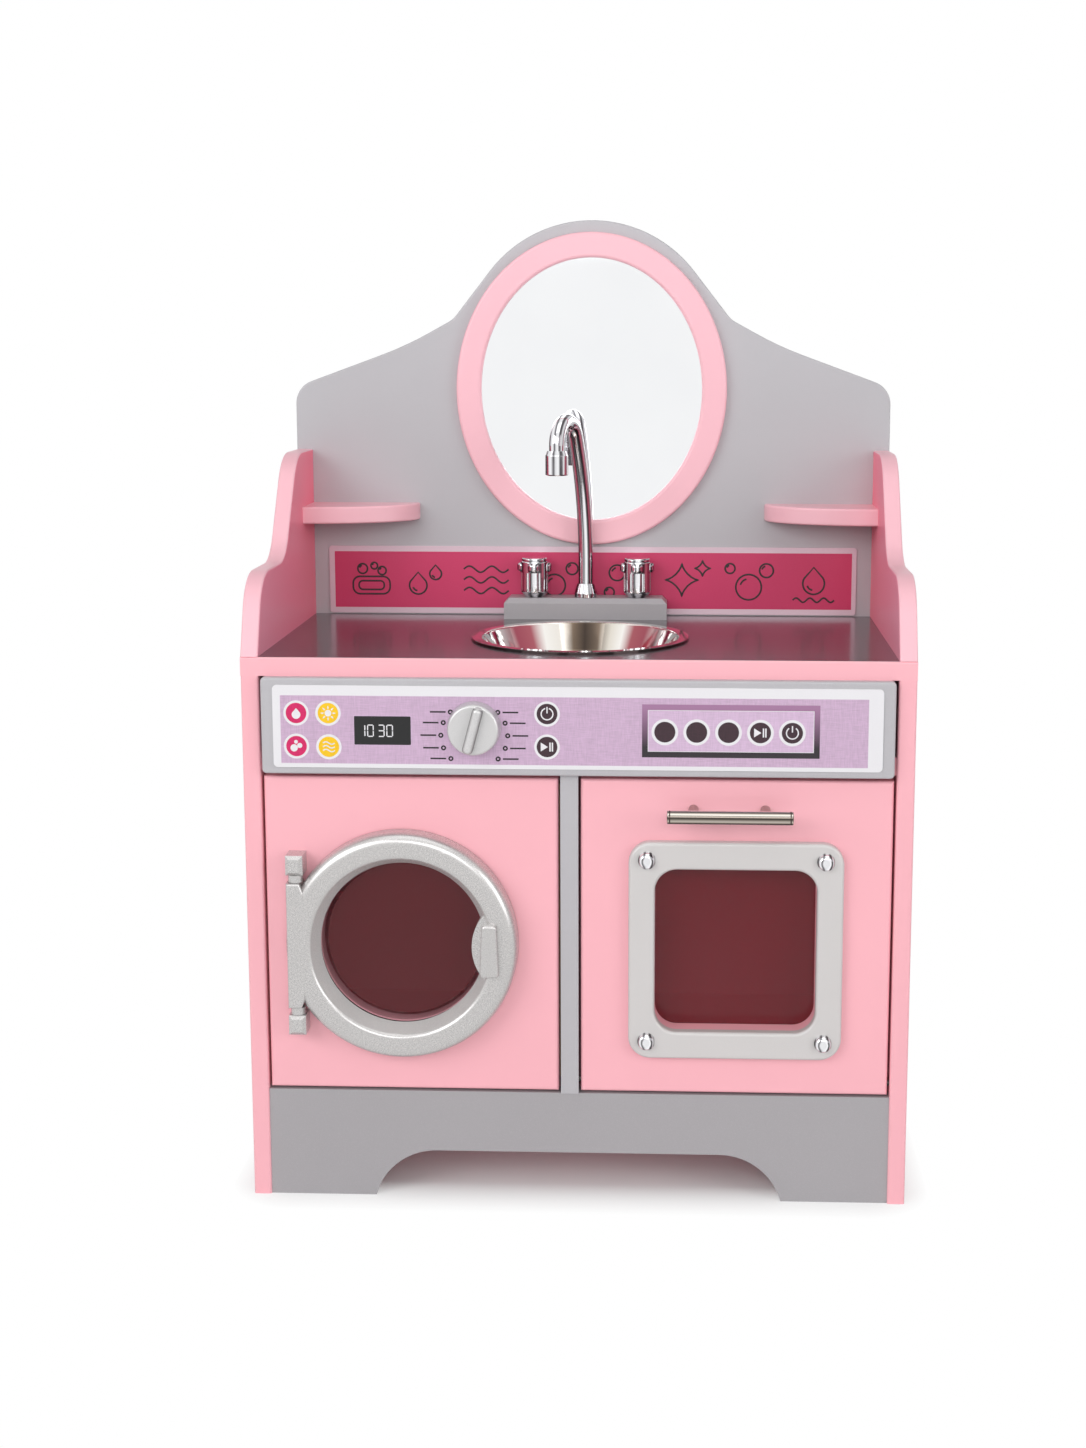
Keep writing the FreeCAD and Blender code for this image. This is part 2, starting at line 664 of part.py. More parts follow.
def mirror_frame():
    """Oval ring with a rebate behind it for the mirror."""
    centre = Vec(0, REAR, MIRROR_Z)
    half_width = MIRROR_FRAME_WIDTH / 2
    half_height = MIRROR_FRAME_HEIGHT / 2
    thick = TO_FRONT * MIRROR_FRAME_THICK
    ring = oval(centre, half_width, half_height, thick)
    ring = ring.cut(oval(centre, half_width - MIRROR_BAND, half_height - MIRROR_BAND, thick))
    face = REAR - MIRROR_FRAME_THICK
    ring = rounded(ring, MIRROR_FRAME_ROUND, lambda edge: lies_on(edge, 1, face))
    lap = MIRROR_BAND - MIRROR_LAP
    return ring.cut(oval(centre, half_width - lap, half_height - lap, TO_FRONT * MIRROR_THICK))


def mirror_glass():
    inset = MIRROR_BAND - MIRROR_LAP + FASTENER_FIT
    half_width = MIRROR_FRAME_WIDTH / 2 - inset
    half_height = MIRROR_FRAME_HEIGHT / 2 - inset
    return oval(Vec(0, REAR, MIRROR_Z), half_width, half_height, TO_FRONT * MIRROR_THICK)


def splash_strip():
    corners = rectangle(-STRIP_WIDTH / 2, STRIP_WIDTH / 2, STRIP_TOP - STRIP_HEIGHT, STRIP_TOP, STRIP_CORNER)
    return prism(corners, front_plane(REAR), TO_FRONT * STRIP_THICK)


def control_panel():
    half = SIDE_IN - CONTROL_GAP
    corners = rectangle(-half, half, CONTROL_BOTTOM, COUNTER_UNDER, CONTROL_CORNER)
    board = prism(corners, front_plane(CONTROL_FACE), ALONG_Y * BOARD)
    board = rounded(board, EDGE_ROUND, lambda edge: lies_on(edge, 1, CONTROL_FACE))
    return drilled(board).cut(dial_hole())


def control_fascia():
    corners = centred(0, CONTROL_MID, FASCIA_WIDTH, FASCIA_HEIGHT, FASCIA_CORNER)
    return prism(corners, front_plane(CONTROL_FACE), TO_FRONT * FASCIA_THICK).cut(dial_hole())


def dial_hole():
    depth = BOARD + FASCIA_THICK
    return rod(Vec(DIAL_X, FASCIA_FACE, DIAL_Z), ALONG_Y, SPINDLE_RADIUS + RUN_FIT, depth)


# Washer front and the fixed half of its hinge

def washer_front_panel():
    corners = rectangle(WASHER_LEFT, WASHER_RIGHT, DOOR_BOTTOM, DOOR_TOP)
    panel = prism(corners, front_plane(PANEL_FACE), ALONG_Y * BOARD)
    panel = rounded(panel, DOOR_ROUND, lambda edge: lies_on(edge, 1, PANEL_FACE))
    panel = panel.cut(rod(Vec(WASHER_X, PANEL_FACE, WASHER_Z), ALONG_Y, WASHER_HOLE_RADIUS, BOARD))

    def hole_edge(edge):
        return lies_on(edge, 1, PANEL_FACE) and isinstance(edge.Curve, Part.Circle)
    panel = rounded(panel, WASHER_HOLE_ROUND, hole_edge)
    return panel.cut(catch_disc(PANEL_FACE, ALONG_Y, MAGNET_THICK, FASTENER_FIT))


def washer_panel_cleats():
    low = DOOR_BOTTOM + CLEAT_END_GAP
    high = DOOR_TOP - CLEAT_END_GAP
    lefts = (-SIDE_IN, DIVIDER_LEFT - CLEAT)
    return group([box(x, x + CLEAT, PANEL_BACK, PANEL_BACK + CLEAT, low, high) for x in lefts])


def hinge_end(side):
    """Height of the door tab's upper or lower end."""
    return WASHER_Z + side * TAB_HEIGHT / 2


def washer_hinge_brackets():
    blocks = []
    for side in (-1, 1):
        near = hinge_end(side) + side * HINGE_STACK
        low = min(near, near + side * BRACKET_HEIGHT)
        half = BRACKET_WIDTH / 2
        block = box(HINGE_X - half, HINGE_X + half, RING_FACE, PANEL_FACE, low, low + BRACKET_HEIGHT)
        block = bevelled(block, BRACKET_BEVEL, lambda edge: lies_on(edge, 1, RING_FACE))
        blocks.append(block.cut(hinge_pin(side, PRESS_FIT)))
    return group(blocks)


def hinge_pin(side, growth=0.0):
    """Pin from the tab into the bracket beyond it; growth widens it to a hole."""
    start = Vec(HINGE_X, HINGE_Y, hinge_end(side) - side * HINGE_PIN_DEPTH)
    length = 2 * HINGE_PIN_DEPTH + HINGE_STACK
    return rod(start, ALONG_Z * side, HINGE_PIN_RADIUS + growth, length)


def washer_hinge_pins():
    return group([hinge_pin(side) for side in (-1, 1)])


def catch_disc(y, axis, thick, growth=0.0):
    centre = Vec(WASHER_X + MAGNET_X, y, WASHER_Z)
    return rod(centre, axis, MAGNET_RADIUS + growth, thick)


# Washer door: moulded ring with a hinge tab, a finger lobe, a window and a grip

def washer_door_ring():
    centre = Vec(WASHER_X, RING_REAR, WASHER_Z)
    profile = [(WINDOW_RADIUS, 0), (RING_RADIUS, 0), (RING_RADIUS, RING_THICK, RING_ROUND),
               (RING_FRONT_BORE, RING_THICK, RING_INNER_ROUND), (RING_BORE, RING_SEAT),
               (WINDOW_RADIUS, RING_SEAT)]
    ring = turned(profile, centre, TO_FRONT)
    ring = ring.fuse([hinge_tab(), finger_lobe()]).removeSplitter().cut(hinge_relief())
    for side in (-1, 1):
        ring = ring.cut(hinge_pin(side, RUN_FIT))
    return ring.cut(catch_disc(RING_REAR, TO_FRONT, STRIKE_DISC_THICK, FASTENER_FIT))


def hinge_tab():
    left = HINGE_X - TAB_EDGE
    right = WASHER_X - RING_FRONT_BORE - RING_INNER_ROUND
    notch = right - TAB_NOTCH_WIDTH
    low = hinge_end(-1)
    high = hinge_end(1)
    corners = [(left, low), (notch, low), (right, low + TAB_NOTCH_HEIGHT),
               (right, high - TAB_NOTCH_HEIGHT), (notch, high), (left, high)]
    tab = prism(corners, front_plane(RING_FACE), ALONG_Y * RING_THICK)

    def front_rim(edge):
        return lies_on(edge, 1, RING_FACE) and not lies_on(edge, 0, right)
    return rounded(tab, TAB_ROUND, front_rim)


def hinge_relief():
    """The sharp edge behind the pins, cut away so that the door rolls clear of the panel."""
    low = hinge_end(-1)
    edge = box(HINGE_X - KNUCKLE_RADIUS, HINGE_X, HINGE_Y, RING_REAR, low, hinge_end(1))
    return edge.cut(rod(Vec(HINGE_X, HINGE_Y, low), ALONG_Z, KNUCKLE_RADIUS, TAB_HEIGHT))


def finger_lobe():
    """Lens-shaped web on the right of the window, behind the grip."""
    y = RING_REAR - RING_SEAT
    depth = RING_THICK - RING_SEAT - LOBE_RECESS
    lens = rod(Vec(WASHER_X + LOBE_REACH + LOBE_RADIUS, y, WASHER_Z), TO_FRONT, LOBE_RADIUS, depth)
    return lens.common(rod(Vec(WASHER_X, y, WASHER_Z), TO_FRONT, RING_FRONT_BORE, depth))


def washer_window():
    radius = WINDOW_RADIUS - FASTENER_FIT
    return rod(Vec(WASHER_X, RING_REAR - RETAINER_THICK, WASHER_Z), TO_FRONT, radius, WINDOW_THICK)


def washer_window_retainer():
    outer = WINDOW_RADIUS - FASTENER_FIT
    corners = rectangle(outer - RETAINER_BAND, outer, 0, RETAINER_THICK)
    return turned(corners, Vec(WASHER_X, RING_REAR, WASHER_Z), TO_FRONT)


def washer_door_grip():
    """Bevelled pull that straddles the ring's inner edge and the lobe."""
    x = WASHER_X + GRIP_X
    z = WASHER_Z - GRIP_DROP
    low = z - GRIP_HEIGHT / 2
    high = z + GRIP_HEIGHT / 2
    corners = [(x - GRIP_BASE_WIDTH / 2, low, GRIP_CORNER), (x + GRIP_BASE_WIDTH / 2, low, GRIP_CORNER),
               (x + GRIP_TOP_WIDTH / 2, high, GRIP_CORNER), (x - GRIP_TOP_WIDTH / 2, high, GRIP_CORNER)]
    y = RING_FACE + LOBE_RECESS
    block = prism(corners, front_plane(y), TO_FRONT * (LOBE_RECESS + GRIP_PROUD))
    block = rounded(block, GRIP_ROUND, lambda edge: lies_on(edge, 1, RING_FACE - GRIP_PROUD))
    return block.cut(washer_door_ring())


def washer_hinge_washers():
    discs = []
    for side in (-1, 1):
        start = Vec(HINGE_X, HINGE_Y, hinge_end(side) + side * TURN_GAP)
        disc = rod(start, ALONG_Z * side, HINGE_WASHER_RADIUS, HINGE_WASHER_THICK)
        discs.append(disc.cut(hinge_pin(side, RUN_FIT)))
    return group(discs)


# Oven door

def pivot_rod(face, growth=0.0):
    """Pivot pin across the gap at a wall's face, deep in that wall and in the door's bottom corner."""
    inward = -1 if face > OVEN_X else 1
    start = Vec(face - inward * PIVOT_DEPTH, PIVOT_Y, PIVOT_Z)
    length = 2 * PIVOT_DEPTH + DOOR_GAP
    return rod(start, ALONG_X * inward, PIVOT_RADIUS + growth, length)


def oven_pivot_pins():
    return group([pivot_rod(face) for face in (DIVIDER_RIGHT, SIDE_IN)])


def oven_pivot_bushes():
    bushes = []
    for face, inward in ((OVEN_LEFT, 1), (OVEN_RIGHT, -1)):
        sleeve = rod(Vec(face, PIVOT_Y, PIVOT_Z), ALONG_X * inward, BUSH_RADIUS, PIVOT_DEPTH)
        wall = DIVIDER_RIGHT if inward > 0 else SIDE_IN
        bushes.append(sleeve.cut(pivot_rod(wall, RUN_FIT)))
    return group(bushes)


def oven_window_corners():
    return centred(OVEN_X, OVEN_Z, OVEN_HOLE_WIDTH, OVEN_HOLE_HEIGHT, OVEN_HOLE_CORNER)


def oven_door_panel():
    corners = rectangle(OVEN_LEFT, OVEN_RIGHT, DOOR_BOTTOM, DOOR_TOP)
    panel = prism(corners, front_plane(PANEL_FACE), ALONG_Y * BOARD)
    panel = rounded(panel, DOOR_ROUND, lambda edge: lies_on(edge, 1, PANEL_FACE))
    panel = panel.cut(prism(oven_window_corners(), front_plane(PANEL_FACE), ALONG_Y * BOARD))
    for face, inward in ((OVEN_LEFT, 1), (OVEN_RIGHT, -1)):
        start = Vec(face, PIVOT_Y, PIVOT_Z)
        panel = panel.cut(rod(start, ALONG_X * inward, BUSH_RADIUS + PRESS_FIT, PIVOT_DEPTH + DOWEL_END_GAP))
    holes = [stud(x, z, FASTENER_FIT) for x, z in stud_places()]
    holes += [pane_screw(x, z, FASTENER_FIT) for x, z in pane_screw_places()]
    holes += [handle_screw(x, FASTENER_FIT) for x in handle_post_places()]
    return panel.cut(group(holes))


def oven_window_frame():
    """Moulded frame round the window, standing proud of the door."""
    outer = centred(OVEN_X, OVEN_Z, OVEN_FRAME_WIDTH, OVEN_FRAME_HEIGHT, OVEN_FRAME_CORNER)
    thick = TO_FRONT * OVEN_FRAME_THICK
    frame = prism(outer, front_plane(PANEL_FACE), thick)
    frame = frame.cut(prism(oven_window_corners(), front_plane(PANEL_FACE), thick))
    face = PANEL_FACE - OVEN_FRAME_THICK
    frame = rounded(frame, OVEN_FRAME_ROUND, lambda edge: lies_on(edge, 1, face))
    return frame.cut(group([stud(x, z, FASTENER_FIT) for x, z in stud_places()]))


def stud_places():
    across = OVEN_FRAME_WIDTH / 2 - STUD_INSET
    up = OVEN_FRAME_HEIGHT / 2 - STUD_INSET
    return [(OVEN_X + a * across, OVEN_Z + b * up) for a in (-1, 1) for b in (-1, 1)]


def stud(x, z, growth=0.0):
    """Domed cap on a shank that goes through the frame into the door; growth makes its hole."""
    centre = Vec(x, PANEL_FACE - OVEN_FRAME_THICK, z)
    slim = STUD_SHANK_RADIUS + growth
    low = -OVEN_FRAME_THICK - STUD_SHANK_DEPTH - growth
    shank = rod(centre + TO_FRONT * low, TO_FRONT, slim, -low)
    if growth > 0:
        return shank
    dome = turned([(0, 0), (STUD_RADIUS, 0), (STUD_RADIUS, STUD_RISE, STUD_ROUND), (0, STUD_RISE)],
                  centre, TO_FRONT)
    return dome.fuse(shank).removeSplitter()


def oven_frame_studs():
    return group([stud(x, z) for x, z in stud_places()])


def oven_window_pane():
    corners = centred(OVEN_X, OVEN_Z, OVEN_HOLE_WIDTH + 2 * PANE_LAP, OVEN_HOLE_HEIGHT + 2 * PANE_LAP,
                      OVEN_HOLE_CORNER)
    pane = prism(corners, front_plane(PANEL_BACK), ALONG_Y * PANE_THICK)
    return pane.cut(group([pane_screw(x, z, FASTENER_FIT) for x, z in pane_screw_places()]))


def pane_screw_places():
    across = OVEN_HOLE_WIDTH / 2 + PANE_SCREW_INSET
    up = OVEN_HOLE_HEIGHT / 3
    return [(OVEN_X + a * across, OVEN_Z + b * up) for a in (-1, 1) for b in (-1, 1)]


def pane_screw(x, z, growth=0.0):
    """Pan-head screw behind the pane."""
    seat = Vec(x, PANEL_BACK + PANE_THICK, z)
    depth = PANE_SCREW_DEPTH + PANE_THICK + growth
    shank = rod(seat, TO_FRONT, PANE_SCREW_RADIUS + growth, depth)
    if growth > 0:
        return shank
    head = turned([(0, 0), (PANE_SCREW_HEAD_RADIUS, 0),
                   (PANE_SCREW_HEAD_RADIUS, PANE_SCREW_HEAD, PANE_SCREW_HEAD / 2), (0, PANE_SCREW_HEAD)],
                  seat, ALONG_Y)
    return head.fuse(shank).removeSplitter()


def oven_pane_screws():
    return group([pane_screw(x, z) for x, z in pane_screw_places()])


def oven_handle_bar():
    start = Vec(HANDLE_X - HANDLE_LENGTH / 2, HANDLE_Y, HANDLE_Z)
    bar = rod(start, ALONG_X, HANDLE_RADIUS, HANDLE_LENGTH)

    def end_edge(edge):
        return isinstance(edge.Curve, Part.Circle)
    return rounded(bar, HANDLE_END_ROUND, end_edge)


def handle_post_places():
    return (HANDLE_X - HANDLE_SPACING / 2, HANDLE_X + HANDLE_SPACING / 2)


def oven_handle_posts():
    """Round posts with a saddle that the bar lies in."""
    start = Vec(HANDLE_X - HANDLE_LENGTH / 2, HANDLE_Y, HANDLE_Z)
    saddle = rod(start, ALONG_X, HANDLE_RADIUS + PRESS_FIT, HANDLE_LENGTH)
    posts = []
    for x in handle_post_places():
        foot = Vec(x, PANEL_FACE, HANDLE_Z)
        post = rod(foot, TO_FRONT, POST_RADIUS, PANEL_FACE - HANDLE_Y).cut(saddle)
        posts.append(post.cut(handle_screw(x, FASTENER_FIT)))
    return group(posts)


def handle_screw(x, growth=0.0):
    """Screw through the door from behind, up the middle of a post."""
    seat = Vec(x, PANEL_BACK, HANDLE_Z)
    length = BOARD + HANDLE_SCREW_GRIP + growth
    shank = rod(seat, TO_FRONT, HANDLE_SCREW_RADIUS + growth, length)
    if growth > 0:
        return shank
    head = turned([(0, 0), (HANDLE_SCREW_HEAD_RADIUS, 0),
                   (HANDLE_SCREW_HEAD_RADIUS, HANDLE_SCREW_HEAD, HANDLE_SCREW_HEAD / 2),
                   (0, HANDLE_SCREW_HEAD)], seat, ALONG_Y)
    return head.fuse(shank).removeSplitter()


def oven_handle_screws():
    return group([handle_screw(x) for x in handle_post_places()])


def oven_strike_plate():
    low = DOOR_TOP - STRIKE_HEIGHT
    half = STRIKE_WIDTH / 2
    return box(OVEN_X - half, OVEN_X + half, PANEL_BACK, PANEL_BACK + STRIKE_THICK, low, DOOR_TOP)


def oven_catch_magnet():
    """Magnet catch below the compartment's ceiling, just behind the door."""
    half = CATCH_WIDTH / 2
    face = PANEL_BACK + STRIKE_THICK + STRIKE_GAP
    low = CONTROL_BOTTOM - CATCH_HEIGHT
    return box(OVEN_X - half, OVEN_X + half, face, face + CATCH_DEPTH, low, CONTROL_BOTTOM)


# Programme dial

def dial_knob():
    """Round knob with a raised bar, drafted towards its front."""
    rear = FASCIA_FACE - TURN_GAP
    centre = Vec(DIAL_X, rear, DIAL_Z)
    knob = turned([(0, 0), (KNOB_RADIUS, 0), (KNOB_RADIUS - KNOB_DRAFT, KNOB_THICK, KNOB_ROUND),
                   (0, KNOB_THICK)], centre, TO_FRONT)
    seat = rear - KNOB_THICK
    corners = centred(DIAL_X, DIAL_Z, KNOB_BAR_WIDTH, KNOB_BAR_LENGTH, KNOB_BAR_WIDTH * 0.48)
    bar = prism(corners, front_plane(seat), TO_FRONT * KNOB_BAR_HEIGHT)
    bar = rounded(bar, KNOB_BAR_ROUND, lambda edge: lies_on(edge, 1, seat - KNOB_BAR_HEIGHT))
    bar.rotate(centre, ALONG_Y, KNOB_TILT)
    bore = rod(centre, TO_FRONT, SPINDLE_RADIUS + PRESS_FIT, SPINDLE_GRIP + DOWEL_END_GAP)
    return knob.fuse(bar).removeSplitter().cut(bore)


def spindle(flange_face, axis, length):
    """Plain shaft with a flange at its inner end; its length runs from the flange's face."""
    flange = rod(flange_face, axis * -1, SPINDLE_FLANGE_RADIUS, SPINDLE_FLANGE)
    return rod(flange_face, axis, SPINDLE_RADIUS, length).fuse(flange).removeSplitter()


def dial_spindle():
    face = Vec(DIAL_X, CONTROL_BACK + TURN_GAP, DIAL_Z)
    return spindle(face, TO_FRONT, BOARD + FASCIA_THICK + 2 * TURN_GAP + SPINDLE_GRIP)


# Sink, tap block, taps and spout

def sink_bowl():
    """Pressed bowl with a flat rim that lies on the counter."""
    centre = Vec(SINK_X, SINK_Y, COUNTER_HEIGHT)
    rim = SINK_RIM_THICK

    def dish(wall, low):
        return [(0, low), (BOWL_BASE_RADIUS - wall, low, BOWL_BASE_ROUND - wall),
                (BOWL_TOP_RADIUS - wall, rim), (0, rim)]
    shell = turned(dish(0, -BOWL_DEPTH), centre, ALONG_Z)
    flange = turned([(0, 0), (SINK_RIM_RADIUS, 0), (SINK_RIM_RADIUS, rim, SINK_RIM_ROUND), (0, rim)],
                    centre, ALONG_Z)
    bowl = shell.fuse(flange).removeSplitter()
    bowl = bowl.cut(turned(dish(BOWL_WALL, BOWL_WALL - BOWL_DEPTH), centre, ALONG_Z))
    lip = BOWL_TOP_RADIUS - BOWL_WALL

    def inner_lip(edge):
        round_edge = isinstance(edge.Curve, Part.Circle) and abs(edge.Curve.Radius - lip) < 0.01
        return round_edge and lies_on(edge, 2, COUNTER_HEIGHT + rim)
    return rounded(bowl, BOWL_LIP_ROUND, inner_lip)


def faucet_block():
    left = FAUCET_X - BLOCK_WIDTH / 2
    rear = BLOCK_FRONT + BLOCK_DEPTH
    block = box(left, left + BLOCK_WIDTH, BLOCK_FRONT, rear, COUNTER_HEIGHT, BLOCK_TOP)

    def top_rim(edge):
        return lies_on(edge, 2, BLOCK_TOP) and not lies_on(edge, 1, rear)
    return drilled(bevelled(block, BLOCK_BEVEL, top_rim)).cut(faucet_holes())


def tap_x(side):
    return FAUCET_X + side * (BLOCK_WIDTH / 2 - TAP_END_GAP)


def faucet_holes():
    """Running holes of both tap spindles and of the spout's stem, through block and counter."""
    height = COUNTER_BOARD + BLOCK_HEIGHT
    holes = []
    for x, radius in ((tap_x(-1), SPINDLE_RADIUS), (tap_x(1), SPINDLE_RADIUS), (FAUCET_X, STEM_RADIUS)):
        holes.append(rod(Vec(x, FAUCET_Y, COUNTER_UNDER), ALONG_Z, radius + RUN_FIT, height))
    return group(holes)


def tap_handle(side):
    """Fluted barrel under a crown of lobes, with a round cap."""
    base = Vec(tap_x(side), FAUCET_Y, BLOCK_TOP + TURN_GAP)
    barrel_top = TAP_HEIGHT - TAP_CAP_HEIGHT
    crown_low = barrel_top - TAP_CROWN_HEIGHT
    barrel = turned([(0, 0), (TAP_FOOT_RADIUS, 0), (TAP_RADIUS, TAP_FOOT_HEIGHT, TAP_FOOT_HEIGHT / 2),
                     (TAP_RADIUS, barrel_top, TAP_ROUND), (0, barrel_top)], base, ALONG_Z)
    flutes = []
    out = TAP_RADIUS + TAP_FLUTE_RADIUS - TAP_FLUTE_DEPTH
    for k in range(TAP_FLUTES):
        angle = 2 * math.pi * (k + 0.5) / TAP_FLUTES
        foot = base + Vec(out * math.cos(angle), out * math.sin(angle), TAP_FOOT_HEIGHT + TAP_ROUND)
        flutes.append(rod(foot, ALONG_Z, TAP_FLUTE_RADIUS, crown_low - TAP_FOOT_HEIGHT - TAP_ROUND))
    barrel = barrel.cut(group(flutes))
    solids = [turned([(0, barrel_top), (TAP_CAP_RADIUS, barrel_top),
                      (TAP_CAP_RADIUS, TAP_HEIGHT, TAP_ROUND), (0, TAP_HEIGHT)], base, ALONG_Z)]
    for k in range(TAP_LOBES):
        angle = 2 * math.pi * k / TAP_LOBES
        reach = TAP_LOBE_REACH - TAP_LOBE_RADIUS
        foot = base + Vec(reach * math.cos(angle), reach * math.sin(angle), crown_low)
        lobe = rod(foot, ALONG_Z, TAP_LOBE_RADIUS, TAP_CROWN_HEIGHT - TAP_ROUND)
        solids.append(rounded(lobe, TAP_LOBE_ROUND, lambda edge: isinstance(edge.Curve, Part.Circle)))
    bore = rod(base, ALONG_Z, SPINDLE_RADIUS + PRESS_FIT, TAP_GRIP + DOWEL_END_GAP)
    return barrel.fuse(solids).removeSplitter().cut(bore)


def tap_spindle(side):
    face = Vec(tap_x(side), FAUCET_Y, COUNTER_UNDER - TURN_GAP)
    return spindle(face, ALONG_Z, COUNTER_BOARD + BLOCK_HEIGHT + 2 * TURN_GAP + TAP_GRIP)


def spout_turns(solid):
    """Swing a solid built straight to the front to the spout's resting direction."""
    solid.rotate(Vec(FAUCET_X, FAUCET_Y, 0), ALONG_Z, -SPOUT_SWING)
    return solid


def spout_path():
    """Swan neck: straight riser, wide leaning bend, tight bend, short straight drop."""
    lean = math.radians(SPOUT_LEAN)
    tight = SPOUT_END_BEND
    tight_u = SPOUT_REACH - tight
    wide = (tight_u - tight * math.cos(lean)) / (1 - math.cos(lean))
    tight_z = BLOCK_TOP + SPOUT_TOP - SPOUT_TUBE_RADIUS - tight
    wide_z = tight_z - (wide - tight) * math.sin(lean)

    def at(u, z):
        return Vec(FAUCET_X, FAUCET_Y - u, z)

    def on_wide(angle):
        return at(wide - wide * math.cos(angle), wide_z + wide * math.sin(angle))

    def on_tight(angle):
        return at(tight_u - tight * math.cos(angle), tight_z + tight * math.sin(angle))
    rise = Part.makeLine(at(0, SPOUT_BASE), at(0, wide_z))
    wide_bend = Part.Arc(on_wide(0), on_wide(lean / 2), on_wide(lean)).toShape()
    tight_bend = Part.Arc(on_tight(lean), on_tight((lean + math.pi) / 2), on_tight(math.pi)).toShape()
    end = at(SPOUT_REACH, tight_z - SPOUT_DROP - NOZZLE_SOCKET)
    drop = Part.makeLine(at(SPOUT_REACH, tight_z), end)
    return Part.Wire([rise, wide_bend, tight_bend, drop]), end


def spout_tube():
    path, end = spout_path()
    base = Vec(FAUCET_X, FAUCET_Y, SPOUT_BASE)
    pipes = []
    for radius in (SPOUT_TUBE_RADIUS, SPOUT_TUBE_RADIUS - SPOUT_WALL):
        circle = Part.Wire(Part.makeCircle(radius, base, ALONG_Z))
        pipes.append(path.makePipeShell([circle], True, False))
    return spout_turns(pipes[0].cut(pipes[1]))


def spout_collar():
    """Bell-shaped foot round the tube."""
    bore = SPOUT_TUBE_RADIUS + PRESS_FIT
    corners = [(bore, 0), (COLLAR_RADIUS, 0), (COLLAR_RADIUS, COLLAR_FOOT, COLLAR_FOOT / 2),
               (COLLAR_NECK_RADIUS, COLLAR_HEIGHT), (bore, COLLAR_HEIGHT)]
    return turned(corners, Vec(FAUCET_X, FAUCET_Y, SPOUT_BASE), ALONG_Z)


def spout_nozzle():
    """Outlet with a socket for the tube and a recessed mouth."""
    path, end = spout_path()
    bore = SPOUT_TUBE_RADIUS + PRESS_FIT
    top = end.z
    low = top + NOZZLE_SOCKET - NOZZLE_HEIGHT
    base = Vec(end.x, end.y, low)
    socket_floor = NOZZLE_HEIGHT - NOZZLE_SOCKET
    corners = [(0, NOZZLE_OUTLET_DEPTH), (NOZZLE_OUTLET_RADIUS, NOZZLE_OUTLET_DEPTH),
               (NOZZLE_OUTLET_RADIUS, 0), (NOZZLE_RADIUS, 0, TAP_ROUND),
               (NOZZLE_RADIUS, NOZZLE_HEIGHT - NOZZLE_SHOULDER, TAP_ROUND),
               (NOZZLE_NECK_RADIUS, NOZZLE_HEIGHT), (bore, NOZZLE_HEIGHT), (bore, socket_floor),
               (0, socket_floor)]
    return spout_turns(turned(corners, base, ALONG_Z))


def spout_stem():
    """Flanged stem from below the counter, pushed into the foot of the tube."""
    face = Vec(FAUCET_X, FAUCET_Y, COUNTER_UNDER - TURN_GAP)
    length = COUNTER_BOARD + BLOCK_HEIGHT + 2 * TURN_GAP + SPOUT_STEM_GRIP
    flange = rod(face, ALONG_Z * -1, SPINDLE_FLANGE_RADIUS, SPINDLE_FLANGE)
    return rod(face, ALONG_Z, STEM_RADIUS, length).fuse(flange).removeSplitter()


NODES = {
    "left_side_panel": side_panel(-1),
    "right_side_panel": side_panel(1),
    "base_board": base_board(),
    "mid_board": mid_board(),
    "divider_panel": divider_panel(),
    "kick_board": kick_board(),
    "kick_cleats": kick_cleats(),
    "countertop": countertop(),
    "front_rail": front_rail(),
    "left_wing": wing(-1),
    "right_wing": wing(1),
    "left_shelf": shelf(-1),
    "right_shelf": shelf(1),
    "back_panel": back_panel(),
    "lower_back_panel": lower_back_panel(),
    "mirror_frame": mirror_frame(),
    "mirror_glass": mirror_glass(),
    "splash_strip": splash_strip(),
    "control_panel": control_panel(),
    "control_fascia": control_fascia(),
    "washer_front_panel": washer_front_panel(),
    "washer_panel_cleats": washer_panel_cleats(),
    "washer_hinge_brackets": washer_hinge_brackets(),
    "washer_hinge_pins": washer_hinge_pins(),
    "washer_catch_magnet": catch_disc(PANEL_FACE, ALONG_Y, MAGNET_THICK),
    "carcass_dowels": group(dowels()),
    "side_bolts": side_bolts(),
    "back_screws": group([back_screw(head) for head in screw_places()]),
    "oven_pivot_pins": oven_pivot_pins(),
    "oven_catch_magnet": oven_catch_magnet(),
    "sink_bowl": sink_bowl(),
    "faucet_block": faucet_block(),
    "washer_door_ring": washer_door_ring(),
    "washer_window": washer_window(),
    "washer_window_retainer": washer_window_retainer(),
    "washer_door_grip": washer_door_grip(),
    "washer_hinge_washers": washer_hinge_washers(),
    "washer_strike_disc": catch_disc(RING_REAR, TO_FRONT, STRIKE_DISC_THICK),
    "oven_door_panel": oven_door_panel(),
    "oven_window_frame": oven_window_frame(),
    "oven_window_pane": oven_window_pane(),
    "oven_frame_studs": oven_frame_studs(),
    "oven_pane_screws": oven_pane_screws(),
    "oven_handle_bar": oven_handle_bar(),
    "oven_handle_posts": oven_handle_posts(),
    "oven_handle_screws": oven_handle_screws(),
    "oven_strike_plate": oven_strike_plate(),
    "oven_pivot_bushes": oven_pivot_bushes(),
    "dial_knob": dial_knob(),
    "dial_spindle": dial_spindle(),
    "spout_tube": spout_tube(),
    "spout_collar": spout_collar(),
    "spout_nozzle": spout_nozzle(),
    "spout_stem": spout_stem(),
    "left_tap_handle": tap_handle(-1),
    "left_tap_spindle": tap_spindle(-1),
    "right_tap_handle": tap_handle(1),
    "right_tap_spindle": tap_spindle(1),
}

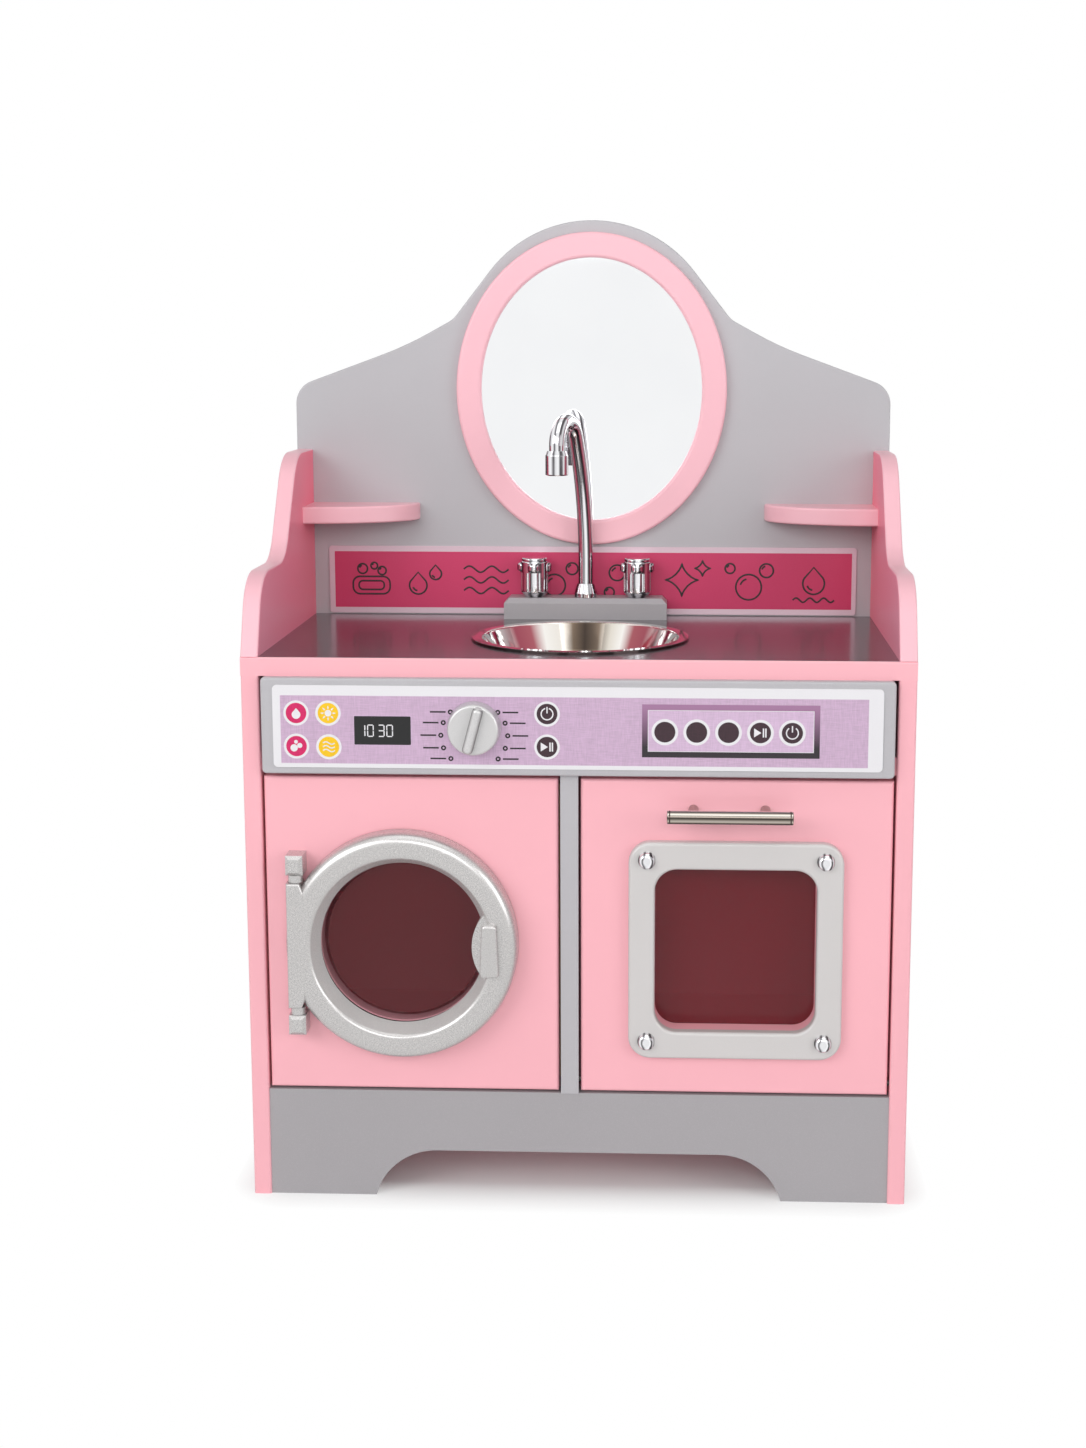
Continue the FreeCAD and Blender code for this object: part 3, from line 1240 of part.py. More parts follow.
os.makedirs("parts", exist_ok=True)
for name, shape in NODES.items():
    solids = shape.Solids
    whole = solids[0] if len(solids) == 1 else group(solids)
    whole.exportStep("parts/" + name + ".step")
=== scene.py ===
import math

import bmesh
import bpy
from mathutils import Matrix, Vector


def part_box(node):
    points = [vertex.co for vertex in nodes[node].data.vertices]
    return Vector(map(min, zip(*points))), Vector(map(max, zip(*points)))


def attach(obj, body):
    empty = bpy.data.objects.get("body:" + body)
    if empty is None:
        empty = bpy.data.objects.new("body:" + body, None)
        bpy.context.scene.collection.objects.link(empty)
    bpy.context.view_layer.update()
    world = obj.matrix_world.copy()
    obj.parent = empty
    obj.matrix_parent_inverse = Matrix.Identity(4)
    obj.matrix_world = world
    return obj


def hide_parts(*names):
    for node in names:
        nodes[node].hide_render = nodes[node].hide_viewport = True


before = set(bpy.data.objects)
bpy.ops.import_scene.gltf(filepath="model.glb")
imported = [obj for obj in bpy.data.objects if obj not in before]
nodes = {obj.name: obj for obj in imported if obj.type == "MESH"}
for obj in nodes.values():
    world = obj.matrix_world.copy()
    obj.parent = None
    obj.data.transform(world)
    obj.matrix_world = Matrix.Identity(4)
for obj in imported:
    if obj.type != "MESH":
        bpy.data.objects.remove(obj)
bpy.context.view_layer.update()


# Pink carcass boards: the sides, both level boards, the washer's front, the shelves and the cheeks
# are board of about 16 mm, cut and edge-rounded on a router, sprayed with a pink lacquer and joined
# with dowels and bolts. The cheeks' inner faces carry painted light and shade: a deeper pink, darker
# from front to rear, for the pink bounce light and the shade between the cheeks.

class Tone:
    """A socket of a node tree that adds Math nodes where it is used in sums."""

    def __init__(self, graph, socket):
        self.graph = graph
        self.socket = socket

    def sum(self, operation, first, second):
        return self.graph.node("ShaderNodeMath", {"operation": operation}, {0: first, 1: second})

    def __add__(self, other):
        return self.sum("ADD", self, other)

    def __radd__(self, other):
        return self.sum("ADD", other, self)

    def __sub__(self, other):
        return self.sum("SUBTRACT", self, other)

    def __rsub__(self, other):
        return self.sum("SUBTRACT", other, self)

    def __mul__(self, other):
        return self.sum("MULTIPLY", self, other)

    def __rmul__(self, other):
        return self.sum("MULTIPLY", other, self)

    def __truediv__(self, other):
        return self.sum("DIVIDE", self, other)

    def __gt__(self, other):
        return self.sum("GREATER_THAN", self, other)

    def __abs__(self):
        return self.graph.node("ShaderNodeMath", {"operation": "ABSOLUTE"}, {0: self})

    def within(self, low, high):
        """0 at the low value, 1 at the high one, held at both ends."""
        return self.graph.node("ShaderNodeMapRange", {"clamp": True},
                               {"Value": self, "From Min": low, "From Max": high})


class Graph:
    """A node tree that grows by one node at a time."""

    def __init__(self, tree):
        self.tree = tree

    def node(self, kind, settings=None, sockets=None, output=0):
        made = self.tree.nodes.new(kind)
        for name, value in (settings or {}).items():
            setattr(made, name, value)
        self.feed(made, sockets or {})
        return Tone(self, made.outputs[output])

    def feed(self, node, sockets):
        for name, value in sockets.items():
            if isinstance(value, Tone):
                self.tree.links.new(value.socket, node.inputs[name])
            else:
                node.inputs[name].default_value = value


class Finish(Graph):
    """A surface finish: a material with one Principled shader."""

    def __init__(self, name):
        self.material = bpy.data.materials.new(name)
        self.material.use_nodes = True
        Graph.__init__(self, self.material.node_tree)
        self.shader = self.tree.nodes["Principled BSDF"]

    def place(self):
        return self.node("ShaderNodeTexCoord", output="Object")

    def along(self, axis):
        """How far a place on the piece is along an axis."""
        return self.node("ShaderNodeSeparateXYZ", {}, {"Vector": self.place()}, axis)

    def facing(self, axis):
        """How much the surface faces along an axis, from -1 to 1."""
        normal = self.node("ShaderNodeTexCoord", output="Normal")
        return self.node("ShaderNodeSeparateXYZ", {}, {"Vector": normal}, axis)

    def noise(self, scale, detail=2.0, stretch=(1.0, 1.0, 1.0)):
        spot = self.node("ShaderNodeMapping", {}, {"Vector": self.place(), "Scale": stretch})
        return self.node("ShaderNodeTexNoise", {}, {"Vector": spot, "Scale": scale, "Detail": detail})

    def out_from(self, point, across):
        """The distance from an axis through a point; across has a 1 for both directions off the axis."""
        spot = self.node("ShaderNodeVectorMath", {"operation": "MULTIPLY"}, {0: self.place(), 1: across})
        return self.node("ShaderNodeVectorMath", {"operation": "DISTANCE"}, {0: spot, 1: point}, "Value")

    def mix(self, share, first, second):
        return self.node("ShaderNodeMix", {"data_type": "RGBA"}, {0: share, 6: first, 7: second}, 2)

    def bands(self, axis, stops):
        """Bands of light and dark along a polished piece, by how far its surface faces along an axis."""
        ramp = self.node("ShaderNodeValToRGB", {}, {"Fac": 0.5 + 0.5 * self.facing(axis)})
        scale = ramp.socket.node.color_ramp.elements
        for place, shade in stops:
            scale.new(place).color = swatch(*shade)
        scale.remove(scale[len(scale) - 1])
        scale.remove(scale[0])
        return ramp

    def bump(self, height, strength, depth):
        sizes = {"Height": height, "Strength": strength, "Distance": depth}
        return self.node("ShaderNodeBump", {}, sizes)

    def shade(self, sockets):
        self.feed(self.shader, sockets)
        return self.material


def swatch(red, green, blue, gain=1.0):
    """A colour as a screen names it, turned into the light values that a shader takes."""
    light = []
    for part in (red, green, blue):
        share = part / 255
        value = share / 12.92 if share <= 0.04045 else ((share + 0.055) / 1.055) ** 2.4
        light.append(min(1.0, value * gain))
    return (*light, 1.0)


def lacquer(name, colour, rough, coat, inner_shade=None):
    """Sprayed paint on board: faint clouding, a fine orange-peel skin and a clear gloss.

    Faces that look to the middle of the object can have painted light and shade: a deeper colour, from
    front to rear."""
    finish = Finish(name)
    cloud = finish.noise(7, 3)
    peel = finish.noise(650, 2)
    tint = finish.mix(cloud, swatch(*colour, 0.96), swatch(*colour, 1.04))
    if inner_shade:
        front, rear = inner_shade
        depth = finish.along("Y").within(CHEEK_FRONT, CHEEK_REAR)
        shaded_inner_face = (0.0 - finish.along("X") * finish.facing("X")) > INWARD_PRODUCT
        tint = finish.mix(shaded_inner_face, tint, finish.mix(depth, swatch(*front), swatch(*rear)))
    return finish.shade({"Base Color": tint, "Roughness": rough + 0.14 * (cloud - 0.5),
                         "Coat Weight": coat, "Coat Roughness": 0.18, "Specular IOR Level": 0.35,
                         "Normal": finish.bump(peel, 0.10, 0.0003)})


def dress(material, *names):
    for name in names:
        for holder in nodes[name].material_slots:
            holder.material = material


PINK = (250, 183, 193)
# Painted light: the shelves, the cheeks and the mirror ring take a paler copy of the same pink, which
# stands for more light on them than the lamps give.
LIT_PINK = (254, 195, 206)
# Painted light and shade on the cheeks' inner faces: pink bounce light near the front, shade towards the
# rear.
INNER_SHADE_PINKS = ((255, 168, 190), (255, 124, 150))
CHEEK_FRONT, CHEEK_REAR = -0.13, 0.15
INWARD_PRODUCT = 0.24
pink_lacquer = lacquer("pink_lacquer", PINK, rough=0.38, coat=0.2)
dress(pink_lacquer, "left_side_panel", "right_side_panel", "base_board", "mid_board",
      "washer_front_panel")
lit_lacquer = lacquer("pale_pink_lacquer", LIT_PINK, rough=0.38, coat=0.2)
dress(lit_lacquer, "left_shelf", "right_shelf")
cheek_lacquer = lacquer("cheek_lacquer", LIT_PINK, rough=0.42, coat=0.1, inner_shade=INNER_SHADE_PINKS)
dress(cheek_lacquer, "left_wing", "right_wing")


# Silver-grey boards: the tall back, the divider and the control board are the same board, sprayed
# with a silver-grey paint that has a fine metal flake in it. The kick board and the faucet's block
# get a darker copy of the same paint: painted shade, for the less light that falls on them.

def flake_paint(name, colour, rough, metal, coat, steep_painted_light=None):
    """Silver paint: small bright and dull flakes in a grey ground, under a thin clear coat.

    Steep sides within a reach of an axis have less flake and metal, and can take painted light or shade:
    a share of the colour, darker below 1 and lighter above it."""
    finish = Finish(name)
    cloud = finish.noise(6, 3)
    flake = finish.noise(2600, 1)
    ground = finish.mix(cloud, swatch(*colour, 0.95), swatch(*colour, 1.05))
    tint = finish.mix(0.35 * flake.within(0.55, 0.75), ground, swatch(*colour, 1.5))
    if steep_painted_light:
        share, x, z, reach = steep_painted_light
        front = (0.0 - finish.facing("Y")).within(STEEP_FACING, OPEN_FACING)
        far = finish.out_from((x, 0.0, z), (1.0, 0.0, 1.0)) > reach
        open_face = far.sum("MAXIMUM", far, front)
        tint = finish.mix(open_face, swatch(*colour, share), tint)
        metal = metal * open_face
    return finish.shade({"Base Color": tint, "Roughness": rough + 0.15 * (flake - 0.5),
                         "Metallic": metal, "Coat Weight": coat, "Coat Roughness": 0.2,
                         "Normal": finish.bump(finish.noise(700, 2), 0.06, 0.0003)})


SILVER_GREY = (183, 181, 185)
# Painted shade: a darker copy of the silver grey for the kick board and the faucet's block.
SHADED_GREY = (165, 162, 165)
STEEP_FACING, OPEN_FACING = 0.3, 0.95
grey_paint = flake_paint("silver_grey_paint", SILVER_GREY, rough=0.42, metal=0.05, coat=0.15)
dress(grey_paint, "divider_panel", "back_panel", "control_panel")
shaded_paint = flake_paint("low_grey_paint", SHADED_GREY, rough=0.42, metal=0.05, coat=0.15)
dress(shaded_paint, "kick_board", "faucet_block")


# Cleats and dowels: plain beech. The cleats are sawn battens and the dowels turned pins, all of them
# glued inside the cabinet and left without paint.

def bare_wood(name, pale, dark):
    """Wood with its grain along the piece's height: long streaks and short dark pores."""
    finish = Finish(name)
    streak = finish.noise(60, 4, (1.0, 1.0, 0.06))
    pore = finish.noise(420, 2, (1.0, 1.0, 0.05))
    ground = finish.mix(streak.within(0.3, 0.7), swatch(*pale), swatch(*dark))
    tint = finish.mix(0.5 * pore.within(0.6, 0.75), ground, swatch(*dark, 0.6))
    return finish.shade({"Base Color": tint, "Roughness": 0.6 + 0.2 * streak,
                         "Normal": finish.bump(pore, 0.2, 0.0004)})


beech = bare_wood("beech", pale=(214, 176, 130), dark=(184, 142, 98))
dress(beech, "kick_cleats", "washer_panel_cleats", "carcass_dowels")


# Lower back: a thin sheet of hardboard screwed over the rear of the cabinet, faced with pink on the
# side that the doors show and left brown, with its wire-mesh press marks, on the wall side.

def faced_hardboard(name, inner, outer):
    """Hardboard: a smooth painted face, and a rear of brown fibre with the marks of a wire mesh."""
    finish = Finish(name)
    rear = finish.facing("Y") > 0.5
    fibre = finish.noise(240, 4)
    mesh = finish.node("ShaderNodeTexVoronoi", {"feature": "DISTANCE_TO_EDGE"},
                       {"Vector": finish.place(), "Scale": 420})
    brown = finish.mix(fibre, swatch(*outer, 0.75), swatch(*outer, 1.2))
    tint = finish.mix(rear, finish.mix(fibre, swatch(*inner, 0.95), swatch(*inner, 1.04)), brown)
    return finish.shade({"Base Color": tint, "Roughness": 0.45 + 0.35 * rear,
                         "Normal": finish.bump(rear * (mesh + 0.3 * fibre), 0.35, 0.0004)})


FIBRE_BROWN = (134, 96, 66)
dress(faced_hardboard("faced_hardboard", PINK, FIBRE_BROWN), "lower_back_panel")


# Back screws: countersunk zinc-plated steel with a cross recess, driven through the back boards.
# Each is turned by its own chance angle, as a driver leaves them.

MM = 0.001
BACK_SCREW_HEAD = 4.0
BACK_SCREW_SHANK = 1.8
BACK_SCREW_LENGTH = 30.0
HIGH_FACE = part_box("back_panel")[1].y
LOW_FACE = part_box("lower_back_panel")[1].y
HIGH_ROWS = ((292, 465), (292, 546.125), (292, 638.8), (150, 495.5))
LOW_ROWS = ((292, 190.5), (292, 308.5), (150, 93.5), (150, 408))
DIVIDER_ROW = (-7, 249.5)
PAN_TAPER = 0.7
SLOT_LONG, SLOT_SLIM, SLOT_DEEP = 1.15, 0.24, 1.1
HEAD_SIDES, SHANK_SIDES = 32, 20
TURN_SEED = 7


def recipe(name, sizes):
    """An empty Geometry Nodes tree with a named input for each size and for the finish."""
    tree = bpy.data.node_groups.new(name, "GeometryNodeTree")
    tree.interface.new_socket("Geometry", in_out="INPUT", socket_type="NodeSocketGeometry")
    for size in sizes:
        tree.interface.new_socket(size, in_out="INPUT", socket_type="NodeSocketFloat")
    tree.interface.new_socket("Finish", in_out="INPUT", socket_type="NodeSocketMaterial")
    tree.interface.new_socket("Geometry", in_out="OUTPUT", socket_type="NodeSocketGeometry")
    graph = Graph(tree)
    source = tree.nodes.new("NodeGroupInput")
    given = {socket.name: Tone(graph, socket) for socket in source.outputs if socket.name}
    return graph, given


def close_recipe(graph, shape, given):
    """The end of every tree: real geometry, with its finish on it."""
    real = graph.node("GeometryNodeRealizeInstances", {}, {"Geometry": shape})
    done = graph.node("GeometryNodeSetMaterial", {}, {"Geometry": real, "Material": given["Finish"]})
    graph.feed(graph.tree.nodes.new("NodeGroupOutput"), {0: done})
    return graph.tree


def made_by(tree, name, seeds, edges, sizes, material):
    """The plain mesh that a tree makes from seed points, or from lines between them."""
    mesh = bpy.data.meshes.new(name)
    mesh.from_pydata(seeds, edges, [])
    holder = bpy.data.objects.new(name, mesh)
    bpy.context.scene.collection.objects.link(holder)
    modifier = holder.modifiers.new("shape", "NODES")
    modifier.node_group = tree
    for item in tree.interface.items_tree:
        if item.in_out == "INPUT" and item.name in sizes:
            modifier[item.identifier] = sizes[item.name]
        if item.in_out == "INPUT" and item.name == "Finish":
            modifier[item.identifier] = material
    now = bpy.context.evaluated_depsgraph_get()
    result = bpy.data.meshes.new_from_object(holder.evaluated_get(now))
    holder.modifiers.clear()
    holder.data = result
    return holder


def screw_tree(name, pan):
    """Screws with a cross recess at seed points, heads to the rear: sunk heads, or pan heads."""
    graph, given = recipe(name, ("Head Radius", "Head Height", "Shank Radius", "Length"))
    head, height = given["Head Radius"], given["Head Height"]
    shank, length = given["Shank Radius"], given["Length"]

    def moved(shape, z):
        lift = graph.node("ShaderNodeCombineXYZ", {}, {"Z": z})
        return graph.node("GeometryNodeTransform", {}, {"Geometry": shape, "Translation": lift})

    if pan:
        cap = graph.node("GeometryNodeMeshCone", {}, {
            "Vertices": HEAD_SIDES, "Radius Top": head * PAN_TAPER, "Radius Bottom": head,
            "Depth": height})
        top, start = height, 0.0
    else:
        cone = graph.node("GeometryNodeMeshCone", {}, {
            "Vertices": HEAD_SIDES, "Radius Top": head, "Radius Bottom": shank, "Depth": height})
        cap = moved(cone, 0.0 - height)
        top, start = 0.0, height
    slot_long, slot_slim = head * SLOT_LONG, head * SLOT_SLIM
    slot_deep = height * SLOT_DEEP
    bars = []
    for wide, deep in ((slot_long, slot_slim), (slot_slim, slot_long)):
        size = graph.node("ShaderNodeCombineXYZ", {}, {"X": wide, "Y": deep, "Z": slot_deep})
        bars.append(moved(graph.node("GeometryNodeMeshCube", {}, {"Size": size}), top))
    cut = graph.tree.nodes.new("GeometryNodeMeshBoolean")
    cut.operation = "DIFFERENCE"
    cut.solver = "EXACT"
    graph.feed(cut, {"Mesh 1": cap})
    for bar in bars:
        graph.feed(cut, {"Mesh 2": bar})
    rod = graph.node("GeometryNodeMeshCylinder", {}, {
        "Vertices": SHANK_SIDES, "Radius": shank, "Depth": length - start})
    rod = moved(rod, 0.0 - start - (length - start) / 2)
    joint = graph.tree.nodes.new("GeometryNodeJoinGeometry")
    graph.feed(joint, {0: Tone(graph, cut.outputs[0])})
    graph.feed(joint, {0: rod})
    screw = graph.node("GeometryNodeSetShadeSmooth", {}, {
        "Geometry": Tone(graph, joint.outputs[0]), "Shade Smooth": False})
    chance = graph.node("FunctionNodeRandomValue", {"data_type": "FLOAT"},
                        {2: 0.0, 3: math.pi / 2, "Seed": TURN_SEED}, 1)
    turn = graph.node("ShaderNodeCombineXYZ", {}, {"X": -math.pi / 2})
    heads = graph.node("GeometryNodeInstanceOnPoints", {}, {
        "Points": given["Geometry"], "Instance": screw,
        "Rotation": graph.node("FunctionNodeEulerToRotation", {}, {"Euler": turn})})
    own = graph.node("FunctionNodeEulerToRotation", {}, {
        "Euler": graph.node("ShaderNodeCombineXYZ", {}, {"Z": chance})})
    turned = graph.node("GeometryNodeRotateInstances", {}, {
        "Instances": heads, "Rotation": own, "Local Space": True})
    return close_recipe(graph, turned, given)


def plated(name, colour, straw, rough):
    """Zinc plate: a faintly blue and straw bloom over metal, with fine tool lines."""
    finish = Finish(name)
    bloom = finish.noise(120, 3)
    line = finish.noise(900, 2, (1.0, 1.0, 0.1))
    tint = finish.mix(bloom.within(0.35, 0.65), swatch(*colour), swatch(*straw))
    return finish.shade({"Base Color": tint, "Metallic": 1.0, "Roughness": rough + 0.2 * (line - 0.5)})


def mirrored(places):
    """Each place on the right, with its twin on the left."""
    return [(side * x, z) for x, z in places for side in (-1, 1)]


zinc_plate = plated("zinc_plate", (198, 202, 210), straw=(214, 206, 186), rough=0.34)
countersunk = screw_tree("countersunk_screws", False)
seats = [(x * MM, HIGH_FACE, z * MM) for x, z in mirrored(HIGH_ROWS)]
seats += [(x * MM, LOW_FACE, z * MM) for x, z in mirrored(LOW_ROWS) + [DIVIDER_ROW]]
back_screws = made_by(countersunk, "back_screws_driven", seats, [], {
    "Head Radius": BACK_SCREW_HEAD * MM, "Head Height": (BACK_SCREW_HEAD - BACK_SCREW_SHANK) * MM,
    "Shank Radius": BACK_SCREW_SHANK * MM, "Length": BACK_SCREW_LENGTH * MM}, zinc_plate)
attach(back_screws, "cabinet")
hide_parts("back_screws")
dress(zinc_plate, "side_bolts", "washer_hinge_pins", "washer_catch_magnet")
# Painted shade: the oven's pivot pins get a dark copy of the zinc, so that they show as the shade in the
# gap round the door.
dull_zinc_plate = plated("dull_zinc_plate", (74, 74, 78), straw=(88, 84, 78), rough=0.5)
dress(dull_zinc_plate, "oven_pivot_pins")


# Countertop: a board faced with a dark, polished grey laminate, laid on the sides, with a round hole
# for the bowl. The laminate runs on over the top of the rail; the edges of both are pink lacquer.

COUNTER_GREY = (72, 64, 68)
TOP_FACING = 0.9


def laminate(name, edge):
    """Polished laminate with a fine speck on the top of a board, with lacquer on its other faces."""
    finish = Finish(name)
    speck = finish.noise(900, 3)
    tint = finish.mix(speck.within(0.4, 0.7), swatch(*COUNTER_GREY, 0.85), swatch(*COUNTER_GREY, 1.15))
    top = finish.facing("Z") > TOP_FACING
    tint = finish.mix(top, swatch(*edge), tint)
    rough = 0.38 + top * (0.08 * finish.noise(5, 3) - 0.19)
    return finish.shade({"Base Color": tint, "Roughness": rough, "Coat Weight": 0.3,
                         "Coat Roughness": 0.12})


dress(laminate("laminate_on_pink", PINK), "countertop", "front_rail")


# Mirror: a thin oval sheet of acrylic mirror that lies in the rebate of an oval ring of board. The
# ring is lacquered pink and fixed to the tall back.

# Painted light: the ring takes the paler copy of the pink.
dress(lit_lacquer, "mirror_frame")
finish = Finish("acrylic_mirror")
haze = finish.noise(14, 3)
tint = finish.mix(haze, swatch(240, 241, 243), swatch(246, 247, 248))
dress(finish.shade({"Base Color": tint, "Metallic": 1.0, "Roughness": 0.015 + 0.02 * haze}),
      "mirror_glass")


# Splash strip: a printed plastic label along the foot of the back, with a pale silver border round a
# magenta field, and line drawings of its own: soap, drops, bubbles, waves and sparkles.

finish = Finish("label_border")
grain = finish.noise(1500, 2)
tint = finish.mix(grain, swatch(206, 178, 190), swatch(222, 198, 208))
dress(finish.shade({"Base Color": tint, "Roughness": 0.32 + 0.1 * grain, "Metallic": 0.3}),
      "splash_strip")

STRIP_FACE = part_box("splash_strip")[0].y / MM
STRIP_FIELD = (-263.5, 510.8, 264.5, 568.3)
STRIP_MID = (STRIP_FIELD[1] + STRIP_FIELD[3]) / 2
INK_PROUD = 0.08
INK_WIDTH = 1.8
BEAD_SIDES = 8


def rectangle(left, low, right, high, radius=0.0, steps=6):
    """Corners of a rectangle, rounded where a radius is given."""
    if not radius:
        return [(left, low), (right, low), (right, high), (left, high)]
    points = []
    for x, z, start in ((right - radius, low + radius, -90), (right - radius, high - radius, 0),
                        (left + radius, high - radius, 90), (left + radius, low + radius, 180)):
        points += arc(x, z, radius, start, start + 90, steps)
    return points


def arc(x, z, radius, start=0.0, end=360.0, steps=40):
    """Points round a centre; a full turn leaves out its last point."""
    last = steps if end - start == 360 else steps - 1
    points = []
    for k in range(steps):
        angle = math.radians(start + (end - start) * k / last)
        points.append((x + radius * math.cos(angle), z + radius * math.sin(angle)))
    return points


def plates(name, outlines, face, proud, material):
    """Flat prints on a front face: each outline is a thin closed plate that stands proud of it."""
    shape = bmesh.new()
    for outline in outlines:
        front = [shape.verts.new((x * MM, (face - proud) * MM, z * MM)) for x, z in outline]
        rear = [shape.verts.new((x * MM, face * MM, z * MM)) for x, z in outline]
        shape.faces.new(front)
        shape.faces.new(rear)
        for k in range(len(outline)):
            after = (k + 1) % len(outline)
            shape.faces.new((front[k], front[after], rear[after], rear[k]))
    bmesh.ops.recalc_face_normals(shape, faces=shape.faces)
    bmesh.ops.triangulate(shape, faces=[f for f in shape.faces if len(f.verts) > 4])
    mesh = bpy.data.meshes.new(name)
    shape.to_mesh(mesh)
    shape.free()
    mesh.materials.append(material)
    piece = bpy.data.objects.new(name, mesh)
    bpy.context.scene.collection.objects.link(piece)
    return piece


def ink_tree():
    """Flat lines of ink along drawn paths: a round bead on each path, pressed flat on the face."""
    graph, given = recipe("ink_lines", ("Width", "Proud", "Face"))
    path = graph.node("GeometryNodeMeshToCurve", {}, {"Mesh": given["Geometry"]})
    bead = graph.node("GeometryNodeCurvePrimitiveCircle", {}, {
        "Resolution": BEAD_SIDES, "Radius": given["Width"] / 2})
    line = graph.node("GeometryNodeCurveToMesh", {}, {
        "Curve": path, "Profile Curve": bead, "Fill Caps": True})
    flat = graph.node("ShaderNodeCombineXYZ", {}, {
        "X": 1.0, "Y": given["Proud"] * 2 / given["Width"], "Z": 1.0})
    seat = graph.node("ShaderNodeCombineXYZ", {}, {"Y": given["Face"]})
    pressed = graph.node("GeometryNodeTransform", {}, {
        "Geometry": line, "Translation": seat, "Scale": flat})
    smooth = graph.node("GeometryNodeSetShadeSmooth", {}, {"Geometry": pressed, "Shade Smooth": True})
    return close_recipe(graph, smooth, given)


ink_lines = ink_tree()


def ink(name, strokes, face, width, proud, material):
    """Ink along strokes, each given as (points, whether it closes on itself)."""
    points = []
    edges = []
    for path, closed in strokes:
        first = len(points)
        points += [(x * MM, 0.0, z * MM) for x, z in path]
        edges += [(first + k, first + k + 1) for k in range(len(path) - 1)]
        if closed:
            edges.append((first + len(path) - 1, first))
    sizes = {"Width": width * MM, "Proud": proud * MM, "Face": face * MM}
    return made_by(ink_lines, name, points, edges, sizes, material)


def ring(x, z, radius):
    return (arc(x, z, radius), True)


def drop_line(x, z, size):
    """A falling drop: a round belly that draws in to a point above."""
    path = [(x, z + 1.5 * size)] + arc(x, z, size, 32, -208, 21)
    return [(path, True), (arc(x, z, 0.62 * size, 200, 260, 8), False)]


def wave_line(x, z, length, rise, turns):
    """A level line that swings up and down, with its middle at a point."""
    steps = 16 * turns
    path = [(x - length / 2 + length * k / steps, z + rise * math.sin(2 * math.pi * turns * k / steps))
            for k in range(steps + 1)]
    return (path, False)


def sparkle_line(x, z, size):
    """A four-pointed star with hollow sides."""
    path = []
    for quarter in range(4):
        turn = math.radians(90 * quarter)
        for share in (0.0, 0.12, 0.25, 0.37, 0.5, 0.63, 0.75, 0.88):
            along = size * abs(math.cos(math.pi / 2 * share)) ** 3
            across = size * abs(math.sin(math.pi / 2 * share)) ** 3
            path.append((x + along * math.cos(turn) - across * math.sin(turn),
                         z + along * math.sin(turn) + across * math.cos(turn)))
    return (path, True)


def bubble_line(x, z, radius):
    """A bubble: a ring with a short glint inside its upper left."""
    return [ring(x, z, radius), (arc(x, z, 0.66 * radius, 105, 165, 8), False)]


def soap_line(x, z):
    """A bar of soap on its side, with a line round its edge and a few bubbles above."""
    bar = [(rectangle(x - 19, z - 15, x + 19, z + 3, 7), True),
           (rectangle(x - 13, z - 10.5, x + 13, z - 1.5, 4), True)]
    foam = bubble_line(x - 9, z + 11, 5) + bubble_line(x + 3, z + 14, 3.4)
    return bar + foam + bubble_line(x + 11, z + 9, 4.2)


strokes = soap_line(-226, STRIP_MID)
strokes += drop_line(-178, STRIP_MID - 6, 9) + drop_line(-160, STRIP_MID + 6, 6)
for row in (-11, 0, 11):
    strokes.append(wave_line(-108, STRIP_MID + row, 46, 3.2, 2))
strokes += bubble_line(-38, STRIP_MID - 5, 11) + bubble_line(-20, STRIP_MID + 12, 6)
strokes += bubble_line(26, STRIP_MID + 8, 8) + bubble_line(18, STRIP_MID - 12, 5)
strokes += [sparkle_line(92, STRIP_MID + 1, 17), sparkle_line(113, STRIP_MID + 13, 8)]
strokes += bubble_line(160, STRIP_MID - 6, 13) + bubble_line(178, STRIP_MID + 11, 7)
strokes += bubble_line(141, STRIP_MID + 13, 5)
strokes += drop_line(226, STRIP_MID - 2, 11) + [wave_line(226, STRIP_MID - 19, 42, 2.2, 3)]

finish = Finish("magenta_print")
weave = finish.noise(1400, 2)
fade = finish.noise(4, 2)
ground = finish.mix(fade, swatch(196, 40, 88), swatch(212, 56, 106))
tint = finish.mix(0.25 * weave, ground, swatch(226, 96, 138))
magenta_print = finish.shade({"Base Color": tint, "Roughness": 0.34 + 0.12 * weave})

finish = Finish("black_ink")
weave = finish.noise(1400, 2)
tint = finish.mix(weave, swatch(8, 4, 7), swatch(22, 13, 18))
black_ink = finish.shade({"Base Color": tint, "Roughness": 0.4 + 0.15 * weave})

strip_field = plates("strip_field", [rectangle(*STRIP_FIELD)], STRIP_FACE, INK_PROUD, magenta_print)
strip_drawing = ink("strip_drawing", strokes, STRIP_FACE - INK_PROUD, INK_WIDTH, INK_PROUD, black_ink)
for piece in (strip_field, strip_drawing):
    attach(piece, "cabinet")


# Sink bowl: one pressing of thin polished stainless steel with a rolled rim, dropped into its hole.
# The bands of its wall stand for what a polished bowl shows of a furnished room and the pink cheeks.

BOWL_BANDS = ((0.0, (205, 200, 194)), (0.1, (240, 236, 230)), (0.2, (160, 84, 96)),
              (0.26, (170, 96, 104)), (0.31, (246, 243, 238)), (0.37, (226, 219, 208)),
              (0.43, (112, 98, 86)), (0.5, (74, 64, 58)), (0.56, (120, 104, 90)),
              (0.62, (236, 230, 222)), (0.7, (246, 243, 238)), (0.76, (172, 96, 106)),
              (0.83, (158, 80, 94)), (0.9, (242, 238, 233)), (1.0, (205, 200, 194)))
FLAT_FACING = 0.8
